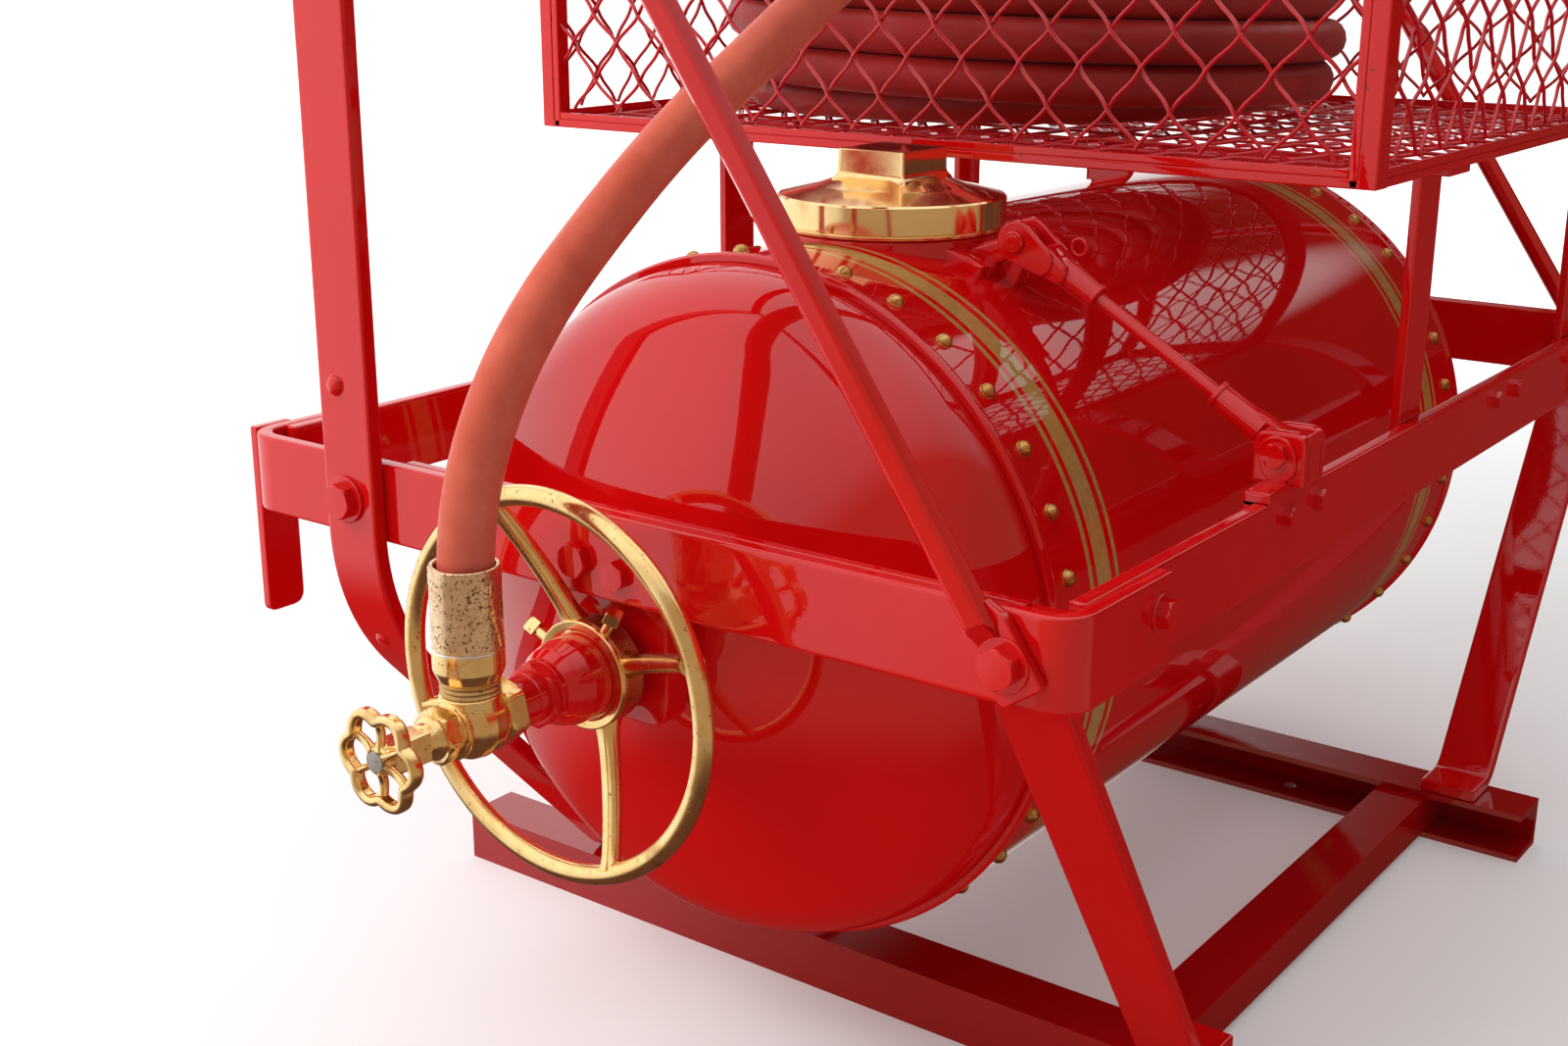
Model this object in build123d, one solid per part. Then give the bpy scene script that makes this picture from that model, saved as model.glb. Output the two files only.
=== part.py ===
"""Revolving chemical tank unit of an old fire engine, with its carrying frame and hose basket.

Part frame in millimetres: +X is the vehicle's front, +Y goes away from the handwheel side, +Z is up.
The origin is on the floor, at the middle of the four bolt holes in the sills' lower flanges.
"""
from build123d import *
import math
import os

os.makedirs("parts", exist_ok=True)

# The whole
AXIS_Z = 380.0          # height of the tank's turning axis above the floor
HALF_W = 600.0          # the side rails' outer faces lie at y = -HALF_W and +HALF_W
NEAR = -HALF_W

# Rails, flat bar on edge
RAIL_H = 63.5
RAIL_T = 12.7
RAIL_UP = 117.7         # the rails' top edge above the axis
RAIL_TOP = AXIS_Z + RAIL_UP
RAIL_BOTTOM = RAIL_TOP - RAIL_H
SIDE_HALF_L = 386.0     # outer faces of the side rails' returns
RETURN_L = 127.0        # how far a return laps along the cross rail
RAIL_BEND_R = 14.0      # inner radius of the bend
RAIL_BEVEL = 1.5
CROSS_X = SIDE_HALF_L - RAIL_T
CROSS_IN = CROSS_X - RAIL_T
STIFF_T = 9.0           # stiffener bar behind each side rail
STIFF_X0 = -205.0
CORNER_T = 8.0          # plate outside each rear return
CORNER_W = 78.0
CORNER_H = 175.0
CORNER_R = 14.0

# Base: channel sills along X and tube ties along Y
SILL_IN = 265.0         # a sill's web, inwards from the side rail's outer face
SILL_W = 55.0
SILL_H = 50.0
SILL_WALL = 6.0
SILL_HALF_L = 420.0
TIE_X = 300.0
TIE_W = 50.0
TIE_WALL = 4.0
MOUNT_X = 170.0         # bolt holes at x = -MOUNT_X and +MOUNT_X
MOUNT_R = 7.0
SILL_Y = NEAR + SILL_IN

# Posts and legs, flat straps that slope inwards to the sills
STRAP_W = 54.0
STRAP_T = 12.7
POST_X = -242.0
POST_RISE = 950.0       # post top above the axis
POST_KNEE = 12.0        # the post's bend below the axis
POST_KNEE_R = 190.0
FOOT_R = 30.0
FOOT_END = 2.0          # a foot stops this far from the sill's inner edge
POST_FOOT = 20.0        # where a post's slope meets its foot, inwards from the sill's web
LEG_X = 344.0
LEG_KNEE_R = 30.0
LEG_FOOT = 2.0
LEG_DOWN = 6.0          # leg top below the rail's top edge

# Braces between the side rails and the posts
BRACE_D = 20.0          # octagonal bar, across flats
BRACE_W = 34.0          # its flat foot
BRACE_T = 9.0
BRACE_FOOT_X = 342.0
BRACE_FOOT_UP = 84.0
BRACE_HEAD_UP = 897.0   # where the brace's middle line meets the post's edge
BRACE_END = 24.0        # brace end beyond its bolt
BRACE_NECK = 13.0       # bolt to the hollow where the bar rises from its foot
BRACE_HOLLOW = 17.0     # radius of that hollow
BRACE_PLATE = 26.0      # bolt to where the foot narrows to the bar
TOP_TIE_W = 38.0
TOP_TIE_T = 20.0
TOP_TIE_DOWN = 40.0

# Tank
TANK_R = 273.5
SHELL_T = 4.0
SEAM_IN = 180.0         # seam between shell and head, inwards from the side rail's outer face
HEAD_DEPTH = 125.0
KNUCKLE_R = 80.0
BEAD_R = 3.0
SKIRT = 45.0
RUN_FIT = 0.05          # radial clearance of turning fits
SEAT_GAP = 0.3

# Trunnions and bearings
TRUNNION_R = 24.0
TRUNNION_FLANGE_R = 36.0
FLANGE_T = 14.0
BEARING_T = 24.0
BEARING_HALF_W = 48.0
BEARING_DROP = 44.0
BEARING_ROUND = 24.0
BEARING_DOWN = 18.0     # saddle top below the rail's top edge
STUB_OUT = 8.0

# Handwheel, on the near trunnion
WHEEL_OUT = 46.0        # rim plane, outwards from the side rail
WHEEL_R = 138.5
RIM_R = 7.3
HUB_R = 41.0
HUB_OUT0 = 3.0
HUB_OUT1 = 33.0
HUB_ROUND = 5.0
SPOKE_ANGLES = (20.0, 112.0, 200.0, 292.0)
SPOKE_R = 5.6
BOSS_R = 30.0
BOSS_OUT = 48.0
HEX_R = 31.0
HEX_OUT = 68.0
TAIL_R = 14.0           # the valve's tail, on which the trunnion turns
TAIL_IN = 20.0

# Filler
FILL_IN = 372.0         # filler axis, inwards from the side rail
NECK_R = 84.0
NECK_T = 8.0
NECK_UP = 22.5
CAP_R = 94.0
CAP_T = 6.7
CAP_BAND = 26.0
CAP_CONE = 16.0
CAP_BOSS = 64.5
CAP_BOSS_H = 21.0
CAP_FLARE = 4.0

# Lock rod, from a lug on the tank to a bracket on the front rail
LOCK_IN = 360.0
LUG_ANGLE = 64.4        # of the lug's pin round the tank, from the front
LUG_UP = 34.7           # of the lug's pin above the shell
PAD_ANGLE = 68.0
PAD_L = 50.0
PAD_W = 46.0
PAD_T = 8.0
FOOT_PIN_X = 362.0
FOOT_PIN_UP = 26.3      # above the rail's top edge
EAR_T = 12.0
EYE_R = 14.0
PIN_R = 6.0
PIN_SLACK = 1.5         # the lug's open slot is this much larger than the pin
TINE_T = 8.0
TINE_GAP = 1.5
TINE_L = 26.0
FORK_L = 42.0
FORK_R = 11.0
FORK_EYE_R = 16.5
TONGUE_L = 28.0         # lower eye to its socket
SOCKET_R = (10.5, 10.0)  # lower and upper sockets
SOCKET_L = (38.0, 34.0)
ROD_R = 5.2
YOKE = 40.0             # square block on the bracket, slotted for the rod's lower eye
YOKE_DOWN = 22.0        # below the foot pin
YOKE_WALL = 4.0
PIN_OUT = 4.0
BRACKET_T = 8.0
BRACKET_Y = (-42.0, 54.0)
BRACKET_H = 46.0
HOOK_Y = (-58.0, 19.0)
HOOK_LIP = 14.0

# Outlet valve, its small wheel, and the hose coupling
VALVE_OUT = 123.0       # the hose's axis, outwards from the side rail
VALVE_R = 24.0
VALVE_NECK_R = 16.0
VALVE_HEX_R = 24.0
VALVE_HEX_L = 16.0
PACKING_HEX_R = 19.0
PACKING_OUT = 24.0      # packing nut, outwards from the hose's axis
PACKING_L = 14.0
STEM_R = 9.0
STEM_OUT = 58.0
SPINDLE_R = 5.0
SMALL_WHEEL_OUT = 81.0
SMALL_WHEEL_T = 11.0
LOBES = 6
LOBE_R = 34.5
WAIST_R = 28.0
BAND_T = 5.0
SMALL_SPOKE_R = 3.0
SMALL_HUB_R = 10.0
NIPPLE_R = 18.0
COUPLING_UP = 30.0
SWIVEL_L = 24.0
SLEEVE_L = 58.0
COUPLING_R = 24.4
SOCKET_DEPTH = 46.0

# Basket of angle iron and diamond mesh
BASKET_UP = 54.5        # basket bottom above the shell's top
BASKET_X = (-443.0, 386.0)
BASKET_IN = 425.0       # near face, inwards from the side rail
BASKET_FAR = 125.0      # far face, inwards from the far side rail
BASKET_L = 2 * HALF_W - BASKET_IN - BASKET_FAR
BASKET_H = 190.0
ANGLE_W = 22.0
ANGLE_T = 3.2
MESH_PITCH = 54.1
MESH_RISE = 60.8
MESH_EDGE = 8.0
MESH_FOOT = 17.0        # the side panels' wires meet this far above the basket's bottom
WIRE = 3.2
WIRE_GAP = 0.3
SHORT_WIRE = 30.0
STAY_IN = (BASKET_IN + 168.0, BASKET_IN + BASKET_L - 35.0)
STAY_W = 47.0
STAY_T = 8.0
BEARER_T = 6.0

# Hose, its coil in the basket and its nozzle
HOSE_R = 19.0
COIL_LAYERS = 4
COIL_STEP = 37.0
COIL_WIDE = 76.0        # two turns side by side
COIL_R = BASKET_L / 2 - 77.0
COIL_X = (-165.0, -55.0)
COIL_IN = BASKET_IN + BASKET_L / 2 + 18.0
NOZZLE_X = -165.0
NOZZLE_IN = 576.0
NOZZLE_L = 240.0
COLLAR_L = 46.0
COLLAR_R = 23.0
NOZZLE_R = (17.0, 9.0)

# Places that follow from the sizes
TANK_TOP = AXIS_Z + TANK_R
FILL_Y = NEAR + FILL_IN
LOCK_Y = NEAR + LOCK_IN
VALVE_Y = NEAR - VALVE_OUT
NECK_TOP = TANK_TOP + NECK_UP
BX0, BX1 = BASKET_X
BY0 = NEAR + BASKET_IN
BY1 = BY0 + BASKET_L
BZ0 = TANK_TOP + BASKET_UP
BZ1 = BZ0 + BASKET_H


def box(x0, x1, y0, y1, z0, z1):
    """Block between two corners."""
    size = Box(abs(x1 - x0), abs(y1 - y0), abs(z1 - z0))
    return Pos((x0 + x1) / 2, (y0 + y1) / 2, (z0 + z1) / 2) * size


def rod(start, end, radius):
    """Round bar from start to end."""
    run = Vector(*end) - Vector(*start)
    bar = Cylinder(radius, run.length, align=(Align.CENTER, Align.CENTER, Align.MIN))
    return Plane(origin=Vector(*start), z_dir=run) * bar


def turned(profile):
    """Solid of revolution about the tank's axis; profile is (radius, y) points."""
    face = make_face(Polyline(*profile, close=True).edges())
    return revolve(Pos(0, 0, AXIS_Z) * face, axis=Axis((0, 0, AXIS_Z), (0, 1, 0)))


def turned_upright(profile, y):
    """Solid of revolution about the vertical through (0, y); profile is (radius, z) points."""
    outline = make_face(Polyline(*profile, close=True).edges())
    face = Plane((0, y, 0), x_dir=(1, 0, 0), z_dir=(0, -1, 0)) * outline
    return revolve(face, axis=Axis((0, y, 0), (0, 0, 1)))


def side_plane(y):
    """Plane at y whose local x is X and whose local y is Z; it faces the near side."""
    return Plane((0, y, 0), x_dir=(1, 0, 0), z_dir=(0, -1, 0))


def plate(points, y0, y1):
    """Plate between y0 and y1 with an outline of (x, z) points."""
    return extrude(side_plane(y1) * make_face(Polyline(*points, close=True).edges()), amount=y1 - y0)


def link(p, q, r_p, r_q, y0, y1):
    """Plate between y0 and y1 that tapers from a round end at p to a round end at q."""
    ends = (Pos(*p) * Circle(r_p)).edges() + (Pos(*q) * Circle(r_q)).edges()
    return extrude(side_plane(y1) * make_hull(ends), amount=y1 - y0)


def hexagon(radius, y0, y1):
    """Hexagon bar on the tank's axis, radius measured to its corners."""
    return extrude(side_plane(y1) * Pos(0, AXIS_Z) * RegularPolygon(radius, 6), amount=y1 - y0)


def far(shape):
    """Mirror image on the far side."""
    return mirror(shape, about=Plane.XZ)


def flat_bar(path, wide, thick, wide_dir, bevel):
    """Flat bar with bevelled edges, swept along a tangent path; wide_dir is the direction of its width."""
    section = Rectangle(wide, thick)
    section = chamfer(section.vertices(), bevel)
    return sweep(Plane(origin=path @ 0, x_dir=wide_dir, z_dir=path % 0) * section, path=path)


def save(name, *solids):
    """One node of one or more separate solids."""
    pieces = [s for shape in solids for s in shape.solids()]
    export_step(pieces[0] if len(pieces) == 1 else Compound(children=pieces), f"parts/{name}.step")


# Base
def sill():
    """Near sill, a channel whose web faces outwards, with its two bolt holes."""
    bar = box(-SILL_HALF_L, SILL_HALF_L, SILL_Y, SILL_Y + SILL_W, 0, SILL_H)
    bar -= box(-SILL_HALF_L, SILL_HALF_L, SILL_Y + SILL_WALL, SILL_Y + SILL_W, SILL_WALL, SILL_H - SILL_WALL)
    for x in (-MOUNT_X, MOUNT_X):
        bar -= rod((x, SILL_Y + SILL_W / 2, -1), (x, SILL_Y + SILL_W / 2, SILL_WALL + 1), MOUNT_R)
    return bar


def tie(x):
    """Square tube between the sills' webs, between their flanges."""
    end = SILL_Y + SILL_WALL
    tube = box(x - TIE_W / 2, x + TIE_W / 2, end, -end, SILL_WALL, SILL_H - SILL_WALL)
    return tube - box(x - TIE_W / 2 + TIE_WALL, x + TIE_W / 2 - TIE_WALL, end, -end,
                      SILL_WALL + TIE_WALL, SILL_H - SILL_WALL - TIE_WALL)


save("base_sills", sill(), far(sill()))
save("base_ties", tie(-TIE_X), tie(TIE_X))


# Rails
def side_rail():
    """Near side rail, bent round both corners and lapping along the cross rails."""
    x = SIDE_HALF_L - RAIL_T / 2
    y = NEAR + RAIL_T / 2
    end = NEAR + RETURN_L
    path = FilletPolyline((-x, end), (-x, y), (x, y), (x, end), radius=RAIL_BEND_R + RAIL_T / 2)
    return Pos(0, 0, RAIL_BOTTOM + RAIL_H / 2) * flat_bar(path, RAIL_H, RAIL_T, (0, 0, 1), RAIL_BEVEL)


def cross_rail(side):
    """Rear (side -1) or front (side 1) rail, inside the side rails' returns, up to the legs."""
    end = HALF_W - RAIL_T - STIFF_T - STRAP_T - SEAT_GAP
    path = Line((side * (CROSS_X - RAIL_T / 2), -end), (side * (CROSS_X - RAIL_T / 2), end))
    return Pos(0, 0, RAIL_BOTTOM + RAIL_H / 2) * flat_bar(path, RAIL_H, RAIL_T, (0, 0, 1), RAIL_BEVEL)


def stiffener():
    """Bar behind the near side rail, up to the middle of the front leg."""
    return box(STIFF_X0, LEG_X, NEAR + RAIL_T, NEAR + RAIL_T + STIFF_T, RAIL_BOTTOM, RAIL_TOP)


def corner_plate():
    """Plate outside the rear return, with rounded lower corners."""
    blank = box(-SIDE_HALF_L - CORNER_T, -SIDE_HALF_L, NEAR, NEAR + CORNER_W, RAIL_TOP - CORNER_H, RAIL_TOP)
    return fillet(blank.edges().filter_by(Axis.X).group_by(Axis.Z)[0], CORNER_R)


save("side_rails", side_rail(), far(side_rail()))
save("cross_rails", cross_rail(-1), cross_rail(1))
save("rail_stiffeners", stiffener(), far(stiffener()))
save("corner_plates", corner_plate(), far(corner_plate()))


# Posts, legs and braces
def strap(x, places, radii):
    """Flat strap with its middle at x, along (y, z) places with bends of the given radii."""
    path = FilletPolyline(*[(x, y, z) for y, z in places], radius=list(radii))
    return flat_bar(path, STRAP_W, STRAP_T, (1, 0, 0), RAIL_BEVEL)


foot_z = SILL_H + STRAP_T / 2
foot_end = (SILL_Y + SILL_W - FOOT_END, foot_z)
post_y = NEAR - STRAP_T / 2
post_line = ((post_y, AXIS_Z + POST_RISE), (post_y, AXIS_Z - POST_KNEE),
             (SILL_Y + POST_FOOT, foot_z), foot_end)
post = strap(POST_X, post_line, (POST_KNEE_R, FOOT_R))
save("posts", post, far(post))
leg_y = NEAR + RAIL_T + STIFF_T + STRAP_T / 2
leg_knee_z = RAIL_BOTTOM - STRAP_T / 2
leg_line = ((leg_y, RAIL_TOP - LEG_DOWN), (leg_y, leg_knee_z), (SILL_Y + LEG_FOOT, foot_z), foot_end)
leg = strap(LEG_X, leg_line, (LEG_KNEE_R, FOOT_R))
save("front_legs", leg, far(leg))


def diagonal_brace():
    """Near brace: an octagonal bar from the post's edge to a flat foot on the side rail."""
    edge_x = POST_X + STRAP_W / 2
    foot = Vector(BRACE_FOOT_X, AXIS_Z + BRACE_FOOT_UP)
    run = Vector(edge_x, AXIS_Z + BRACE_HEAD_UP) - foot
    slope = run.normalized()
    half = Vector(-slope.Y, slope.X) * (BRACE_W / 2)

    def at(t, side=0.0):
        point = foot + slope * t + half * side
        return (point.X, point.Y)

    narrow = BRACE_D / BRACE_W
    taper = BRACE_PLATE + BRACE_W - BRACE_D
    outline = (at(-BRACE_END, -1), at(-BRACE_END, 1), at(BRACE_PLATE, 1),
               at(taper, narrow), at(taper, -narrow), at(BRACE_PLATE, -1))
    brace = plate(outline, NEAR - BRACE_T, NEAR)
    x, z = at(BRACE_NECK)
    bar_plane = Plane((x, NEAR - BRACE_D / 2, z), x_dir=(0, 1, 0), z_dir=(slope.X, 0, slope.Y))
    octagon = RegularPolygon(BRACE_D / 2, 8, major_radius=False, rotation=22.5)
    bar = bar_plane * extrude(octagon, amount=run.length)
    bar &= box(edge_x, BRACE_FOOT_X, NEAR - BRACE_D, NEAR, AXIS_Z, AXIS_Z + POST_RISE)
    hollow_y = NEAR - BRACE_T - BRACE_HOLLOW
    x0, z0 = at(BRACE_NECK, -2)
    x1, z1 = at(BRACE_NECK, 2)
    return brace + (bar - rod((x0, hollow_y, z0), (x1, hollow_y, z1), BRACE_HOLLOW))


save("diagonal_braces", diagonal_brace(), far(diagonal_brace()))
tie_z = AXIS_Z + POST_RISE - TOP_TIE_DOWN
save("post_tie", box(POST_X - TOP_TIE_W / 2, POST_X + TOP_TIE_W / 2, -HALF_W, HALF_W,
                     tie_z - TOP_TIE_T / 2, tie_z + TOP_TIE_T / 2))

# Bearings
bear_y = NEAR + RAIL_T + STIFF_T
bore = rod((0, bear_y - 1, AXIS_Z), (0, bear_y + BEARING_T + 1, AXIS_Z), TRUNNION_R + RUN_FIT)
saddle_top = RAIL_TOP - BEARING_DOWN
saddle = box(-BEARING_HALF_W, BEARING_HALF_W, bear_y, bear_y + BEARING_T, AXIS_Z, saddle_top) - bore
bearing_cap = box(-BEARING_HALF_W, BEARING_HALF_W, bear_y, bear_y + BEARING_T, AXIS_Z - BEARING_DROP, AXIS_Z)
bearing_cap = fillet(bearing_cap.edges().filter_by(Axis.Y).group_by(Axis.Z)[0], BEARING_ROUND) - bore
save("bearing_saddles", saddle, far(saddle))
save("bearing_caps", bearing_cap, far(bearing_cap))

# Tank
seam = HALF_W - SEAM_IN
shell_in = TANK_R - SHELL_T
bead = [(shell_in, -seam), (TANK_R + BEAD_R * 0.4, -seam), (TANK_R + BEAD_R, -seam + BEAD_R),
        (TANK_R + BEAD_R, -seam + 2 * BEAD_R), (TANK_R, -seam + 3.5 * BEAD_R)]
shell = turned(bead + [(r, -y) for r, y in reversed(bead)])
shell -= Pos(0, FILL_Y, TANK_TOP) * Cylinder(NECK_R - NECK_T, TANK_R)
save("tank_shell", shell)

# A dished head is a crown arc and a knuckle arc, tangent to each other
knuckle_x = shell_in - KNUCKLE_R
CROWN_R = (knuckle_x ** 2 + HEAD_DEPTH ** 2 - KNUCKLE_R ** 2) / (2 * (HEAD_DEPTH - KNUCKLE_R))
crown_y = -seam - HEAD_DEPTH + CROWN_R
blend_angle = math.degrees(math.atan2(-seam - crown_y, knuckle_x))


def arc(x, y, radius, start, end):
    """Arc about (x, y) between two angles in degrees."""
    return ThreePointArc(*[(x + radius * math.cos(math.radians(a)), y + radius * math.sin(math.radians(a)))
                           for a in (start, (start + end) / 2, end)])


def head():
    """Near head with a straight skirt inside the shell and a hole for the trunnion."""
    faces = []
    for inset in (0, SHELL_T):
        hole_angle = -math.degrees(math.acos(TRUNNION_FLANGE_R / (CROWN_R - inset)))
        crown = arc(0, crown_y, CROWN_R - inset, hole_angle, blend_angle)
        knuckle = arc(knuckle_x, -seam, KNUCKLE_R - inset, blend_angle, 0)
        skirt = Line(knuckle @ 1, (shell_in - inset, -seam + SKIRT))
        faces.append((crown, knuckle, skirt))
    outer, inner = faces
    edges = [*outer, *inner, Line(outer[2] @ 1, inner[2] @ 1), Line(inner[0] @ 0, outer[0] @ 0)]
    section = make_face([e for shape in edges for e in shape.edges()])
    return revolve(Pos(0, 0, AXIS_Z) * section, axis=Axis((0, 0, AXIS_Z), (0, 1, 0)))


head_near = head()
save("head_near", head_near)
save("head_far", far(head_near))

# Trunnions, seated in the heads; the near one is bored for the valve's tail
root = crown_y - math.sqrt(CROWN_R ** 2 - TRUNNION_FLANGE_R ** 2)
flange = [(TRUNNION_R, root - FLANGE_T / 2), (TRUNNION_FLANGE_R, root), (TRUNNION_FLANGE_R, root + FLANGE_T)]
tail_bore = TAIL_R + RUN_FIT
boss_y = NEAR - BOSS_OUT
save("trunnion_near", turned([(tail_bore, root + FLANGE_T), (tail_bore, boss_y), (BOSS_R, boss_y),
                              (BOSS_R, NEAR - HUB_OUT1), (TRUNNION_R, NEAR - HUB_OUT1), *flange]))
stub_y = bear_y - STUB_OUT
stub = turned([(TAIL_R, root + FLANGE_T), (TAIL_R, stub_y), (TRUNNION_R, stub_y), *flange])
save("trunnion_far", far(stub))
packing = hexagon(HEX_R, NEAR - HEX_OUT, boss_y)
packing -= rod((0, NEAR - HEX_OUT - 1, AXIS_Z), (0, boss_y + 1, AXIS_Z), tail_bore)
save("packing_hex", packing)


# Handwheel
def handwheel():
    """Round rim on four dished spokes and a hub with a collar."""
    rim_y = NEAR - WHEEL_OUT
    hub_y0 = NEAR - HUB_OUT1
    hub_y1 = NEAR - HUB_OUT0
    wheel = Pos(0, rim_y, AXIS_Z) * Rot(90, 0, 0) * Torus(WHEEL_R, RIM_R)
    wheel += turned([(TRUNNION_R, hub_y0), (HUB_R - HUB_ROUND, hub_y0), (HUB_R, hub_y0 + HUB_ROUND),
                     (HUB_R, hub_y1 - HUB_ROUND), (HUB_R - HUB_ROUND, hub_y1), (TRUNNION_R, hub_y1)])
    hub_middle = (hub_y0 + hub_y1) / 2
    for angle in SPOKE_ANGLES:
        c = math.cos(math.radians(angle))
        s = math.sin(math.radians(angle))
        inner = HUB_R - HUB_ROUND - SPOKE_R / 2
        at_hub = (c * inner, hub_middle, AXIS_Z + s * inner)
        at_rim = (c * WHEEL_R, rim_y, AXIS_Z + s * WHEEL_R)
        wheel += rod(at_hub, at_rim, SPOKE_R)
    return wheel


save("handwheel", handwheel())

# Filler neck, saddled on the shell, and its cap with a square boss
tank_round = rod((0, -seam, AXIS_Z), (0, seam, AXIS_Z), TANK_R)
neck = Pos(0, FILL_Y, NECK_TOP - NECK_R) * Cylinder(NECK_R, 2 * NECK_R)
neck &= box(-NECK_R, NECK_R, FILL_Y - NECK_R, FILL_Y + NECK_R, AXIS_Z, NECK_TOP)
neck -= Pos(0, FILL_Y, NECK_TOP) * Cylinder(NECK_R - NECK_T, 4 * NECK_R)
save("filler_neck", neck - tank_round)
cap_under = NECK_TOP + SEAT_GAP
cap_z1 = cap_under + CAP_T
cap_z2 = cap_z1 + CAP_CONE
boss_top = cap_z2 + CAP_BOSS_H
boss_half = CAP_BOSS / 2
bore_r = NECK_R + RUN_FIT
cap = turned_upright([(0, cap_under), (bore_r, cap_under), (bore_r, cap_z1 - CAP_BAND),
                      (CAP_R, cap_z1 - CAP_BAND), (CAP_R, cap_z1), (boss_half + CAP_FLARE, cap_z2),
                      (0, cap_z2)], FILL_Y)
boss = extrude(Rectangle(CAP_BOSS, CAP_BOSS), amount=CAP_BOSS_H + CAP_FLARE)
boss = Pos(0, FILL_Y, cap_z2 - CAP_FLARE) * boss
save("filler_cap", cap + boss)

# Lock: lug on the tank, bracket on the front rail, and the rod between their pins
lug_r = TANK_R + LUG_UP
lug = (lug_r * math.cos(math.radians(LUG_ANGLE)), AXIS_Z + lug_r * math.sin(math.radians(LUG_ANGLE)))
foot = (FOOT_PIN_X, RAIL_TOP + FOOT_PIN_UP)
ear_y0 = LOCK_Y - EAR_T / 2
ear_y1 = LOCK_Y + EAR_T / 2
tine_y0 = ear_y0 - TINE_GAP - TINE_T
tine_y1 = ear_y1 + TINE_GAP + TINE_T
neck_round = Pos(0, FILL_Y, TANK_TOP) * Cylinder(NECK_R, TANK_R)


def pad_point(up, along=0.0):
    """Point (x, z) above the middle of the lug's pad, and along it towards the front."""
    a = math.radians(PAD_ANGLE)
    radius = TANK_R + up
    return (radius * math.cos(a) + along * math.sin(a), AXIS_Z + radius * math.sin(a) - along * math.cos(a))


def lock_lug():
    """Pad curved to the shell and an ear whose slot is open to the front."""
    px, pz = pad_point(0)
    pad = Pos(px, LOCK_Y, pz) * Rot(0, 90 - PAD_ANGLE, 0) * Box(PAD_L, PAD_W, 2 * PAD_T)
    ear = link(pad_point(0, EYE_R), lug, EYE_R, EYE_R, ear_y0, ear_y1)
    slot = link(lug, (lug[0] + 3 * EYE_R, lug[1]), PIN_R + PIN_SLACK, PIN_R + PIN_SLACK, ear_y0, ear_y1)
    return pad + ear - slot - tank_round - neck_round


def lock_bracket():
    """Plate inside the front rail, hooked over its top edge, with a slotted yoke and the foot pin."""
    bracket = box(CROSS_IN - BRACKET_T, CROSS_IN, LOCK_Y + BRACKET_Y[0], LOCK_Y + BRACKET_Y[1],
                  RAIL_TOP - BRACKET_H, RAIL_TOP)
    hook_y0 = LOCK_Y + HOOK_Y[0]
    bracket += box(CROSS_IN - BRACKET_T, CROSS_X, hook_y0, LOCK_Y + HOOK_Y[1], RAIL_TOP, RAIL_TOP + BRACKET_T)
    bracket += box(CROSS_IN - BRACKET_T, CROSS_IN, hook_y0, LOCK_Y + BRACKET_Y[0], RAIL_TOP - HOOK_LIP, RAIL_TOP)
    half = YOKE / 2
    under = foot[1] - YOKE_DOWN
    yoke = box(foot[0] - half, foot[0] + half, LOCK_Y - half, LOCK_Y + half, under, under + YOKE)
    yoke -= box(foot[0] - YOKE, foot[0] + half - YOKE_WALL, ear_y0 - TINE_GAP, ear_y1 + TINE_GAP,
                foot[1] - EYE_R - TINE_GAP, foot[1] + YOKE)
    pin_y = half + PIN_OUT
    pin = rod((foot[0], LOCK_Y - pin_y, foot[1]), (foot[0], LOCK_Y + pin_y, foot[1]), PIN_R)
    return bracket + yoke + pin


rod_run = Vector(lug[0] - foot[0], lug[1] - foot[1])
rod_dir = rod_run.normalized()


def on_rod(t):
    """Point (x, z) on the lock rod, t along it from the foot pin."""
    return (foot[0] + rod_dir.X * t, foot[1] + rod_dir.Y * t)


def bar(t0, t1, radius):
    """Round bar on the rod's line."""
    start = on_rod(t0)
    end = on_rod(t1)
    return rod((start[0], LOCK_Y, start[1]), (end[0], LOCK_Y, end[1]), radius)


def upper_fork():
    """Two round-ended tines beside the lug's ear, and the body that joins them."""
    body_start = on_rod(rod_run.length - TINE_L)
    body_end = on_rod(rod_run.length - FORK_L)
    shape = link(body_start, body_end, FORK_R, FORK_R * 0.8, tine_y0, tine_y1)
    for y in (tine_y0, tine_y1 - TINE_T):
        shape += link(lug, body_start, FORK_EYE_R, FORK_R, y, y + TINE_T)
    return shape


def lock_rod():
    """Rod with an eye below and a fork above, whose pin drops into the lug's slot."""
    shape = link(foot, on_rod(TONGUE_L), EYE_R, FORK_R, ear_y0, ear_y1)
    shape += bar(TONGUE_L, TONGUE_L + SOCKET_L[0], SOCKET_R[0]) + upper_fork()
    shape += bar(rod_run.length - FORK_L - SOCKET_L[1], rod_run.length - FORK_L, SOCKET_R[1])
    shape += bar(TONGUE_L, rod_run.length - FORK_L, ROD_R)
    shape -= rod((foot[0], ear_y0 - 1, foot[1]), (foot[0], ear_y1 + 1, foot[1]), PIN_R + RUN_FIT)
    return shape + rod((lug[0], tine_y0, lug[1]), (lug[0], tine_y1, lug[1]), PIN_R)


save("lock_lug", lock_lug())
save("lock_bracket", lock_bracket())
save("lock_rod", lock_rod())

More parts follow.
